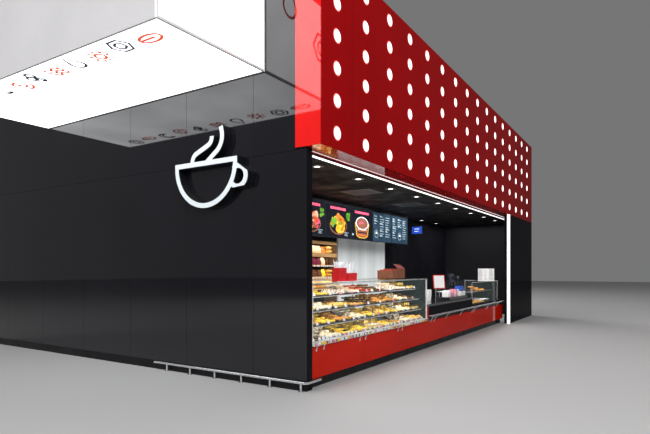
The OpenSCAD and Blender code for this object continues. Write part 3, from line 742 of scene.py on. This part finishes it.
# One row for each tier from the deck up, three trays for each module
CASE_PLAN = [
    "dark_rings sugar_buns custard_rings custard_rings cake_slices custard_rings tarts sugar_horns"
    " filled_buns",
    "horns custard_rings horns sugar_horns custard_rings pale_buns custard_rings sugar_buns dark_slices",
    "custard_rings sugar_buns filled_buns tarts dark_rings buns horns sugar_horns dark_rings",
    "muffins custard_rings sandwiches sugar_buns ring_cakes dark_rings sandwiches sugar_horns dark_slices",
]


def fill_tray(heaps, kind, centre_y, width, floor_z, front, rows, rng):
    """Sets out one kind of goods in rows from the front edge back, heaped higher behind the first row."""
    make, _, pitch_y, pitch_x, rise = GOODS[kind]
    columns = int(width / pitch_y)
    pattern, heap = heaps.setdefault(kind, (make(), Shape()))
    for row in range(rows):
        for layer in range(min(row + 1, 3) if rise else 1):
            count = columns - layer % 2
            for column in range(count):
                if rng.random() < GAP_SHARE:
                    continue
                x = front - pitch_x * (row + 0.5 + 0.3 * layer) + rng.uniform(-0.004, 0.004)
                y = centre_y + (column - (count - 1) / 2) * pitch_y + rng.uniform(-0.004, 0.004)
                turn = rng.uniform(-0.25, 0.25) + (math.pi if kind.endswith("horns") and column % 2 else 0)
                size = rng.uniform(0.82, 1.02)
                heap.copy_in(pattern, place_at(x, y, floor_z + layer * rise, turn, size))


def build_heaps(prefix, heaps, goods):
    for kind, (_, heap) in heaps.items():
        build(f"{prefix}_{kind}", heap, goods[kind][1], smooth=True)


def add_tray(shape, low_y, high_y, floor_z, front, back):
    open_box(shape, (back, low_y, floor_z), (front, high_y, floor_z + TRAY_HIGH), TRAY_RIM, TRAY_SHEET)


def add_cards(shapes, low_y, high_y, z, x, rng, steps):
    """Price cards along an edge, most of them white."""
    y = low_y + 0.05
    while y < high_y - 0.04:
        kind = 0 if rng.random() < 0.75 else 1
        shapes[kind].copy_in(shapes[2], place_at(x, y, z, rng.uniform(-0.06, 0.06)))
        y += rng.choice(steps)


def make_price_rail(rng):
    """A dark channel with coloured cards along the front edge of the case's deck."""
    shape = Shape()
    x, low, high = DECK_HIGH[0], DECK_LOW[2] + 0.004, DECK_HIGH[2] - 0.004
    shape.box((x, DECK_LOW[1] + 0.01, low), (x + 0.001, DECK_HIGH[1] - 0.01, high))
    y = DECK_LOW[1] + 0.02
    while y < DECK_HIGH[1] - 0.09:
        width = rng.choice([0.04, 0.055, 0.07])
        kind = rng.choice([1, 1, 1, 2, 3, 3])
        shape.box((x + 0.001, y, low + 0.003), (x + 0.002, y + width, high - 0.002), kind)
        shape.box((x + 0.002, y + 0.008, low + 0.010), (x + 0.0025, y + width * 0.7, low + 0.014), 0)
        y += width + rng.choice([0.004, 0.008, 0.03])
    build("price_rail", shape, "black_paint paper_white card_pink custard")


def make_case_goods():
    rng = random.Random(11)
    heaps, trays, leds = {}, Shape(), Shape()
    cards = [Shape(), Shape(), price_card()]
    for level in range(TIERS):
        topmost = level == TIERS - 1
        floor_z = DECK_HIGH[2] + level * TIER_PITCH
        edge = SHELF_FRONT - (level - 1) * SHELF_STEP if level else COUNTER_X - CASE_BAR
        front = edge - TRAY_SETBACK
        card_steps = [0.17, 0.26, 0.38] if level else [0.085, 0.11, 0.14]
        kinds = CASE_PLAN[level].split()
        for i in range(MODULES):
            low_y = CASE_LOW[1] + i * MODULE_L + CASE_BAR
            high_y = min(low_y + MODULE_L, CASE_HIGH[1]) - 2 * CASE_BAR
            tray_l = (high_y - low_y) / TRAYS_PER_MODULE
            for k in range(TRAYS_PER_MODULE):
                start = low_y + k * tray_l + 0.004
                add_tray(trays, start, start + tray_l - 0.008, floor_z, front, TRAY_BACK)
                fill_tray(heaps, kinds[i * TRAYS_PER_MODULE + k], start + tray_l / 2 - 0.004, tray_l - 0.02,
                          floor_z + TRAY_SHEET, front - 0.006, ROWS_PER_TRAY, rng)
            add_cards(cards, low_y, high_y, floor_z, edge - 0.012, rng, card_steps)
            top = floor_z + TIER_PITCH - (0.010 if topmost else 0.012)
            lamp_x = (CASE_HIGH[0] - 0.05 if topmost else SHELF_FRONT - level * SHELF_STEP) - 0.012
            leds.box((lamp_x - 0.010, low_y + 0.01, top - 0.005), (lamp_x, high_y - 0.01, top))
            x, y = lamp_x - 0.02, (low_y + high_y) / 2
            area_lamp(f"case_{level}_{i}", (x, y, top - 0.012), (x - 0.10, y, floor_z), high_y - low_y, 1.3,
                      0.02)
    build_heaps("case", heaps, GOODS)
    build("case_trays", trays, "tray_metal", bevel=0.0008)
    build("case_led_lines", leds, "led_line", bevel=0.002)
    make_price_rail(rng)
    build("price_cards_white", cards[0], "paper_white paper_white steel")
    build("price_cards_pink", cards[1], "card_pink paper_white steel")


# Bread rack

RACK_BAYS = 4
RACK_BOARD = 0.025
RACK_PITCH = (RACK_HIGH[2] - RACK_LOW[2] - RACK_BOARD) / RACK_BAYS
LIP_DEPTH = 0.012
LOAF_RISE = 0.072

RACK_GOODS = {
    "loaves": (loaf(0.26, 0.085, 0.075, 5), "crust"),
    "pale_loaves": (loaf(0.24, 0.10, 0.08, 3), "crust_pale"),
    "white_packs": (pouch(0.15, 0.09, 0.15), "wrap_cream"),
    "red_packs": (pouch(0.13, 0.1, 0.14), "wrap_berry"),
    "yellow_packs": (pouch(0.13, 0.1, 0.15), "custard"),
    "dark_packs": (pouch(0.13, 0.1, 0.14), "chocolate"),
    "orange_packs": (pouch(0.13, 0.1, 0.14), "wrap_orange"),
}
# One row for each shelf from the lowest up, and the shares of its length where the next kind starts
RACK_PLAN = [
    "pale_loaves loaves pale_loaves pale_loaves",
    "yellow_packs dark_packs yellow_packs loaves",
    "red_packs red_packs white_packs dark_packs",
    "yellow_packs white_packs orange_packs pale_loaves",
]
RACK_SPLITS = (0.50, 0.66, 0.82)


def rack_top(level):
    return RACK_LOW[2] + level * RACK_PITCH + RACK_BOARD


def make_rack_goods():
    rng = random.Random(5)
    low, high = RACK_LOW, RACK_HIGH
    heaps = {kind: (pattern, Shape()) for kind, (pattern, _) in RACK_GOODS.items()}
    for level, row in enumerate(RACK_PLAN):
        z = rack_top(level) + 0.001
        y = low[1] + 0.06
        while y < high[1] - 0.06:
            share = (y - low[1]) / (high[1] - low[1])
            kind = row.split()[sum(share >= split for split in RACK_SPLITS)]
            baked_goods = "loaves" in kind
            for layer in range(2 if baked_goods else 1):
                x = low[0] + 0.15 + rng.uniform(-0.01, 0.01)
                turn = (math.pi / 2 if baked_goods else 0) + rng.uniform(-0.08, 0.08)
                pattern, heap = heaps[kind]
                heap.copy_in(pattern, place_at(x, y, z + layer * LOAF_RISE, turn))
            y += 0.10 if baked_goods else 0.155
    lips = Shape()
    for level, drop in ((1, 0.050), (3, 0.050), (4, 0.035)):
        top = rack_top(level)
        lips.box((high[0], low[1], top - RACK_BOARD - drop), (high[0] + LIP_DEPTH, high[1], top))
    build("rack_lips", lips, "wood_light", bevel=0.002)
    cards = Shape()
    for level, face_x in ((1, high[0] + LIP_DEPTH), (2, high[0])):
        top = rack_top(level)
        y = low[1] + 0.03
        while y < high[1] - 0.06:
            cards.box((face_x, y, top - 0.034), (face_x + 0.002, y + 0.045, top - 0.004))
            y += rng.choice([0.06, 0.075, 0.10])
    build("rack_cards", cards, "paper_white", bevel=0.0005)
    build_heaps("rack", heaps, RACK_GOODS)
    x, y = (low[0] + high[0]) / 2 + 0.1, (low[1] + high[1]) / 2
    for level in range(RACK_BAYS):
        z = low[2] + (level + 0.9) * RACK_PITCH
        area_lamp(f"rack_{level}", (x, y, z), (x - 0.1, y, z - 1), 1.2, 2.4, 0.1)


# Small display

def make_display_rails(wide=0.014, high=0.008):
    """Thin edge rails on top of the small display's glass, along its front and its far end."""
    shape = Shape()
    low, top = DISPLAY_LOW, DISPLAY_HIGH
    shape.box((top[0] - wide, low[1], top[2]), (top[0], top[1], top[2] + high))
    shape.box((low[0], top[1] - wide, top[2]), (top[0] - wide, top[1], top[2] + high))
    build("small_case_edge_rails", shape, "pale_metal", bevel=0.001)


def make_display_goods():
    rng = random.Random(3)
    heaps, trays, dishes = {}, Shape(), Shape()
    low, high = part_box("small_case_shelf")
    deck_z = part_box("small_case_base")[1][2]
    length = high[1] - low[1]
    # Floor, front edge, and a kind for each fifth of the length or none
    plans = [(deck_z, DISPLAY_HIGH[0] - 0.06, ["tarts", "apricot_rings", "tarts", "", ""]),
             (high[2], high[0] - 0.03, ["", "", "", "buns", ""])]
    for floor_z, front, kinds in plans:
        width = length / len(kinds)
        for k, kind in enumerate(kinds):
            start = low[1] + k * width + 0.01
            if kind:
                add_tray(trays, start, start + width - 0.02, floor_z, front, low[0] + 0.06)
                fill_tray(heaps, kind, start + width / 2 - 0.01, width - 0.04, floor_z + TRAY_SHEET,
                          front - 0.01, 3, rng)
    build_heaps("display", heaps, GOODS)
    for k in range(8):
        x, y = high[0] - 0.10 - 0.22 * (k % 2), low[1] + 0.62 * length + 0.20 * (k // 2)
        for layer in range(3):
            dishes.copy_in(plate(), place_at(x, y, deck_z + 0.012 * layer))
    build("display_plates", dishes, "card_white", smooth=True)
    build("display_trays", trays, "tray_metal", bevel=0.0008)
    y = (low[1] + high[1]) / 2
    for z, x in ((high[2] - 0.03, high[0] - 0.05), (DISPLAY_HIGH[2] - 0.03, high[0])):
        area_lamp(f"display_{int(z * 100)}", (x, y, z), (x - 0.1, y, z - 1), 1.9, 2.0, 0.03)


# Menu screens

SCREENS = 5
SCREEN_GAP = 0.008
SCREEN_EDGE = 0.014
LAYER = 0.0006


class Screen:
    """Flat shapes on one screen, placed by shares of its width and height from its lower left corner."""

    def __init__(self, shapes, corner, across, size):
        self.shapes, self.size = shapes, size
        self.plane = (corner, across, (0, 0, 1))

    def slab(self, kind, outline, layer):
        scaled = [(u * self.size[0], v * self.size[1]) for u, v in outline]
        depth = LAYER * layer
        self.shapes.setdefault(kind, Shape()).slab(scaled, self.plane, depth, depth + LAYER)

    def bar(self, kind, u, v, width, height, layer=2):
        self.slab(kind, rectangle(width, height, u, v), layer)

    def disc(self, kind, u, v, radius, layer=2, tall=1.0, start=0.0, end=360.0):
        aspect = self.size[0] / self.size[1]
        points = ring_points(radius, 28, start, end)
        self.slab(kind, [(u + x, v + y * aspect * tall) for x, y in points], layer)


def title_bars(screen, seed):
    """A row of short pink bars along the top in place of a title."""
    rng = random.Random(seed)
    u = 0.16
    while u < 0.78:
        width = rng.choice([0.05, 0.08, 0.12])
        screen.bar("pink", u, 0.85, width, 0.075)
        u += width + 0.012


def dish_screen(screen, kinds, seed):
    """A dark screen with a heap of food on a dark board and a sprig of leaves."""
    rng = random.Random(seed)
    screen.bar("night", 0.0, 0.0, 1.0, 1.0, 1)
    title_bars(screen, seed)
    screen.disc("brown", 0.48, 0.36, 0.35, 2, 0.55)
    screen.disc("night", 0.48, 0.38, 0.33, 3, 0.55)
    for i in range(40):
        turn, reach = rng.uniform(0, 2 * math.pi), rng.random() ** 0.6
        u, v = 0.48 + 0.27 * reach * math.cos(turn), 0.43 + 0.25 * reach * math.sin(turn)
        screen.disc(kinds[i % len(kinds)], u, v, rng.uniform(0.035, 0.085), 4 + i % 4, rng.uniform(0.7, 1.3),
                    0, rng.choice([200, 280, 360]))
    for i in range(9):
        u, v = 0.88 + rng.uniform(-0.06, 0.06), 0.68 + rng.uniform(-0.10, 0.10)
        screen.disc("green", u, v, rng.uniform(0.022, 0.045), 3, 0.9)
    for k, width in enumerate((0.16, 0.11, 0.13)):
        screen.bar("chalk", 0.74, 0.16 - 0.045 * k, width, 0.018)


def cup_screen(screen, seed):
    """A dark screen with a glass cup: a ring for its rim and a banded body below."""
    screen.bar("night", 0.0, 0.0, 1.0, 1.0, 1)
    title_bars(screen, seed)
    body = [(0.16, 0.54), (0.23, 0.12), (0.36, 0.05), (0.64, 0.05), (0.77, 0.12), (0.84, 0.54)]
    screen.slab("yellow", body, 2)
    screen.slab("brown", [(0.50 + 0.92 * (u - 0.50), 0.30 + 0.90 * (v - 0.30)) for u, v in body], 3)
    for k, kind in enumerate(("orange", "night", "cream")):
        screen.bar(kind, 0.28, 0.13 + 0.09 * k, 0.44, 0.035, 4)
    screen.disc("white", 0.50, 0.54, 0.30, 5, 0.50)
    screen.disc("brown", 0.50, 0.54, 0.27, 6, 0.48)
    screen.disc("pink", 0.46, 0.52, 0.12, 7, 0.4, 20, 200)
    screen.bar("chalk", 0.03, 0.12, 0.08, 0.06)


def list_screen(screen, seed):
    """A slate screen with columns of short bars in place of a price list."""
    rng = random.Random(seed)
    screen.bar("slate", 0.0, 0.0, 1.0, 1.0, 1)
    for column in range(3):
        left = 0.06 + 0.31 * column
        full = column != seed % 3
        for row in range(9 if full else 4):
            width = rng.uniform(0.12, 0.24)
            screen.bar("chalk", left, 0.86 - 0.085 * row, width, 0.026)
            if rng.random() < 0.25:
                screen.bar("white", left, 0.895 - 0.085 * row, width * 0.6, 0.012, 3)
        if not full:
            screen.disc("chalk", left + 0.12, 0.26, 0.10)
            screen.disc("slate", left + 0.12, 0.26, 0.085, 3)
            screen.disc("white", left + 0.12, 0.26, 0.05, 4, start=0, end=180)


def make_menus():
    shapes = {}
    low, high = SCREENS_LOW, SCREENS_HIGH
    step = (high[1] - low[1] + SCREEN_GAP) / SCREENS
    size = (step - SCREEN_GAP - 2 * SCREEN_EDGE, high[2] - low[2] - 2 * SCREEN_EDGE)
    corners = [(high[0], low[1] + i * step + SCREEN_EDGE, low[2] + SCREEN_EDGE) for i in range(SCREENS)]
    screens = [Screen(shapes, corner, (0, 1, 0), size) for corner in corners]
    dish_screen(screens[0], ["brown", "orange", "pink", "brown", "cream"], 4)
    dish_screen(screens[1], ["yellow", "orange", "yellow", "green", "orange"], 7)
    cup_screen(screens[2], 12)
    list_screen(screens[3], 3)
    list_screen(screens[4], 4)
    low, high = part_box("order_monitor")
    monitor = Screen(shapes, (low[0] + 0.08, low[1], low[2] + 0.02), (1, 0, 0),
                     (high[0] - low[0] - 0.10, high[2] - low[2] - 0.04))
    monitor.bar("blue", 0, 0, 1, 1, 1)
    for v, width in ((0.65, 0.5), (0.3, 0.4)):
        monitor.bar("white", 0.25, v, width, 0.08)
    for kind, shape in shapes.items():
        build(f"menu_{kind}", shape, f"mark_{kind}")


# Canopy marks

MARKS = 10
MARK_SIZE = 0.34
MARK_PITCH = 0.42
MARK_LINE = 0.036
MARK_PROUD = 0.0015


def add_path(shape, plane, path, closed, size):
    """A flat line of even width along a path in a plane."""
    origin, across, up = (Vector(v) for v in plane)
    points = [Vector((u * size, v * size)) for u, v in path]
    count = len(points)
    sides = []
    for i, point in enumerate(points):
        before = points[i - 1] if closed or i else point
        after = points[(i + 1) % count] if closed or i < count - 1 else point
        along = (after - before).normalized()
        normal = Vector((-along.y, along.x)) * MARK_LINE / 2
        sides += [point + normal, point - normal]
    faces = []
    for i in range(count if closed else count - 1):
        a, b = 2 * i, 2 * ((i + 1) % count)
        faces.append((a, a + 1, b + 1, b))
    shape.add([origin + across * p.x + up * p.y for p in sides], faces)


def circle(x, y, radius, count, *arc):
    return [(x + c, y + s) for c, s in ring_points(radius, count, *arc)]


def plain_marks():
    """Eight plain drawings, each a list of paths and whether each one closes."""
    side = [(0.45 * math.cos(math.pi * k / 12), 0.22 * math.sin(math.pi * k / 12)) for k in range(13)]
    leaf = [(side, False), ([(x, -y) for x, y in side], False), ([(-0.45, 0), (0.2, 0)], False)]
    comb = [(ring_points(0.40, 6), True), (ring_points(0.20, 6, 30, 390), True)]
    rays = [([(0.26 * c, 0.26 * s), (0.44 * c, 0.44 * s)], False) for c, s in ring_points(1, 9)]
    sun = [(ring_points(0.18, 24), True)] + rays
    drop = [([(0.0, 0.46)] + circle(0, -0.12, 0.26, 20, 20, -200), True)]
    waves = [([(0.08 * k - 0.4, 0.07 * math.sin(1.3 * k) + up) for k in range(11)], False)
             for up in (-0.15, 0.05, 0.25)]
    petals = [(circle(0.2 * a, 0.2 * b, 0.17, 16), True) for a, b in ring_points(1, 4, 90, 450)[:3]]
    clover = petals + [([(0, -0.1), (0.05, -0.48)], False)]
    spiral = [([(0.018 * k * math.cos(0.5 * k), 0.018 * k * math.sin(0.5 * k)) for k in range(2, 26)], False)]
    crescent = [(ring_points(0.38, 20, 50, 310) + circle(0.10, 0, 0.28, 16, 290, 70), True)]
    return [leaf, comb, sun, drop, waves, clover, spiral, crescent]


def make_canopy_marks():
    marks = plain_marks()
    low, high = CANOPY_LOW, CANOPY_HIGH
    dark, red = Shape(), Shape()
    for i in range(MARKS):
        x, y = high[0] - MARK_PITCH - i * MARK_PITCH, low[1] + (0.22 if i % 2 else 0.27)
        plane = ((x, y, low[2] - MARK_PROUD), (1, 0, 0), (0, -1, 0))
        for path, closed in marks[i % len(marks)]:
            add_path(dark if i % 2 else red, plane, path, closed, MARK_SIZE)
    # The comb and the drop again on the canopy's near end
    for shape, mark, y, z in ((dark, marks[1], 0.35, 0.72), (red, marks[3], 1.10, 1.05)):
        plane = ((high[0] + MARK_PROUD, low[1] + y, low[2] + z), (0, 1, 0), (0, 0, 1))
        for path, closed in mark:
            add_path(shape, plane, path, closed, MARK_SIZE * 1.5)
    build("canopy_marks_dark", dark, "mark_ink")
    build("canopy_marks_red", red, "mark_red")


def make_canopy_shade_lines(edge=0.026, proud=0.0012):
    """Thin grey strips along the canopy's lower edges and round its near end: painted shade where its lit
    faces meet.
    """
    # The grey strips are painted shade along the corners of the lit canopy
    shade_lines = Shape()
    low, high = CANOPY_LOW, CANOPY_HIGH
    walls(shade_lines, (low[0], low[1], low[2] - proud), (high[0], high[1], low[2]), edge)
    for y in (low[1], high[1] - edge):
        shade_lines.box((high[0], y, low[2]), (high[0] + proud, y + edge, high[2]))
    shade_lines.box((high[0], low[1] + edge, low[2]), (high[0] + proud, high[1] - edge, low[2] + edge))
    build("canopy_shade_lines", shade_lines, "shade_line_grey")


# Things that stand on the counter

BAG_DEPTH = 0.10
TISSUE_POINTS = 18

# Across, along, width, height and top of the tissue
BAGS = [(-0.16, 1.07, 0.20, 0.18, 0.27), (-0.15, 1.32, 0.25, 0.11, 0.26), (-0.32, 1.30, 0.20, 0.11, 0.28)]


def make_bags():
    """Paper bags on top of the first case module, with crumpled tissue standing out of them."""
    rng = random.Random(9)
    shape = Shape()
    z = CASE_HIGH[2]
    for x, y, width, height, tissue_top in BAGS:
        half_w, half_d = width / 2, BAG_DEPTH / 2
        rings = []
        for share, grow in ((0, 0.94), (0.5, 0.98), (1.0, 1.0)):
            rings.append([(x + sx * half_d * grow, y + sy * half_w * grow, z + height * share)
                          for sx, sy in ((-1, -1), (1, -1), (1, 1), (-1, 1))])
        shape.loft(rings, 0)
        inner, outer = [], []
        for i, (c, s) in enumerate(ring_points(1, TISSUE_POINTS)):
            flare, fold = (1.12, 0) if i % 2 else (0.82, 0.05)
            inner.append((x + c * half_d * 0.85, y + s * half_w * 0.85, z + height * 0.96))
            outer.append((x + c * half_d * flare, y + s * half_w * flare,
                          z + tissue_top - fold + rng.uniform(-0.02, 0.03)))
        middle = [(x + 0.4 * (p[0] - x), y + 0.4 * (p[1] - y), z + height + 0.025) for p in outer]
        shape.loft([inner, outer, middle], 1)
    build("gift_bags", shape, "paper_red tissue", bevel=0.002)


def make_crates():
    """Open cartons and a wrapped pack on top of the last case module."""
    shape = Shape()
    z = CASE_HIGH[2]
    open_box(shape, (-0.62, 3.10, z), (-0.33, 3.32, z + 0.14))
    open_box(shape, (-0.62, 3.34, z), (-0.33, 3.61, z + 0.17))
    shape.box((-0.59, 3.13, z + 0.09), (-0.36, 3.29, z + 0.155), 1)
    lid = [(0, 0), (0.30, 0), (0.28, 0.10), (0.03, 0.13)]
    shape.slab(lid, ((-0.33, 3.30, z + 0.172), (0, 1, 0), (-0.75, 0, 0.66)), -0.003, 0.0, 2)
    build("top_cartons", shape, "carton paper_red lid_red", bevel=0.002)


def make_sign_stand(x=-0.28, y=5.22, width=0.27, height=0.28, rim=0.016, thick=0.006):
    """A blank sheet in a red frame on a rod."""
    foot = [(0.07, 0), (0.07, 0.006), (0.012, 0.010), (0.006, 0.014), (0.006, 0.24), (0.001, 0.24)]
    shape = Shape()
    shape.copy_in(turned(1, 1, (foot, 20)), place_at(x, y, WORKTOP_Z))
    across = Vector((0, 0, 1)).cross(Vector((0.80, -0.60, 0)).normalized()) * -1
    corner = Vector((x, y, WORKTOP_Z + 0.22)) + across * (-width / 2)
    plane = (corner, across, Vector((0, 0, 1)) + across * 0.07)
    shape.slab(rectangle(width, height), plane, -thick, thick, 1)
    sheet = rectangle(width - 2 * rim, height - 2 * rim, rim, rim)
    for side in (-thick, thick):
        shape.slab(sheet, plane, side - 0.0004, side + 0.0004, 2)
    build("sign_stand", shape, "steel paper_red card_white", bevel=0.001)


def make_till(x=-0.40, y=6.08):
    """A till: a base with keys, a staff screen on a neck and a small customer display."""
    shape = Shape()
    z = WORKTOP_Z
    shape.box((x - 0.20, y - 0.20, z), (x + 0.18, y + 0.20, z + 0.10))
    wedge = [(-0.20, 0.10), (0.10, 0.10), (0.10, 0.13), (-0.20, 0.115)]
    shape.slab(wedge, ((x, y, z), (1, 0, 0), (0, 0, 1)), -0.19, 0.19)
    for i in range(5):
        for j in range(8):
            left, near = x - 0.185 + 0.048 * i, y - 0.17 + 0.042 * j
            shape.box((left, near, z + 0.116), (left + 0.036, near + 0.032, z + 0.130), 1)
    shape.box((x + 0.10, y - 0.025, z + 0.10), (x + 0.15, y + 0.025, z + 0.34))
    screen = ((x + 0.12, y - 0.17, z + 0.26), (0, 1, 0), (-0.25, 0, 1))
    shape.slab(rectangle(0.34, 0.25), screen, -0.012, 0.020)
    shape.box((x + 0.11, y + 0.20, z), (x + 0.14, y + 0.23, z + 0.40))
    shape.box((x + 0.09, y + 0.14, z + 0.40), (x + 0.16, y + 0.30, z + 0.47))
    build("till", shape, "screen_case card_white", bevel=0.003)


def make_counter_packs(riser=0.06):
    """Small cartons in a low black tray along the serving counter, and a blue pack on a white one."""
    rng = random.Random(21)
    z = WORKTOP_Z + riser
    tray, shape = Shape(), Shape()
    tray.box((-0.26, 4.98, WORKTOP_Z), (0.02, 6.12, z))
    build("counter_riser", tray, "worktop", bevel=0.006)
    y = 5.14
    while y < 5.74:
        width, height = rng.choice([0.06, 0.08, 0.10]), rng.uniform(0.07, 0.14)
        kind = rng.choice([0, 1, 2, 0, 1])
        shape.box((-0.20 + rng.uniform(-0.01, 0.01), y, z), (-0.06, y + width - 0.008, z + height), kind)
        y += width
    shape.box((-0.16, 5.78, z), (-0.02, 6.10, z + 0.09), 0)
    shape.box((-0.15, 5.80, z + 0.09), (-0.04, 6.04, z + 0.20), 3)
    build("counter_packs", shape, "card_white card_pink apricot film_blue", bevel=0.003)


def make_cups():
    """Two stacks of paper cups."""
    stacks = Shape()
    cup = turned(1, 1, ([(0.028, 0), (0.040, 0.10), (0.042, 0.10), (0.041, 0.104), (0.037, 0.104)], 18))
    for i in range(6):
        for y in (4.62, 4.72):
            stacks.copy_in(cup, place_at(-0.30, y, WORKTOP_Z + 0.022 * i))
    build("paper_cups", stacks, "card_white", smooth=True)


def make_leaflet(x=-0.30, y=8.02, height=0.31, sheet=0.003):
    """A folded blank board on top of the small display."""
    shape = Shape()
    fold = [(0, 0), (0.10, 0.10), (0.23, 0.12), (0.34, 0.22)]
    for (u0, v0), (u1, v1) in zip(fold, fold[1:]):
        across = Vector((u1 - u0, v1 - v0, 0))
        length = across.length
        plane = ((x + u0, y + v0, DISPLAY_HIGH[2]), across.normalized(), (0, 0, 1))
        shape.slab(rectangle(length, height), plane, 0, sheet)
        for row in range(9):
            bar = rectangle(length - (0.05 if row % 3 else 0.08), 0.010, 0.02, height - 0.035 - 0.030 * row)
            shape.slab(bar, plane, -0.0006, 0, 1)
            shape.slab(bar, plane, sheet, sheet + 0.0006, 1)
    build("leaflet_board", shape, "card_white print_grey")


make_stage()
make_case_goods()
make_rack_goods()
make_display_rails()
make_display_goods()
make_menus()
make_canopy_marks()
make_canopy_shade_lines()
make_bags()
make_crates()
make_sign_stand()
make_till()
make_counter_packs()
make_cups()
make_leaflet()
make_lights()
make_camera()
bpy.context.scene.view_settings.view_transform = "Standard"
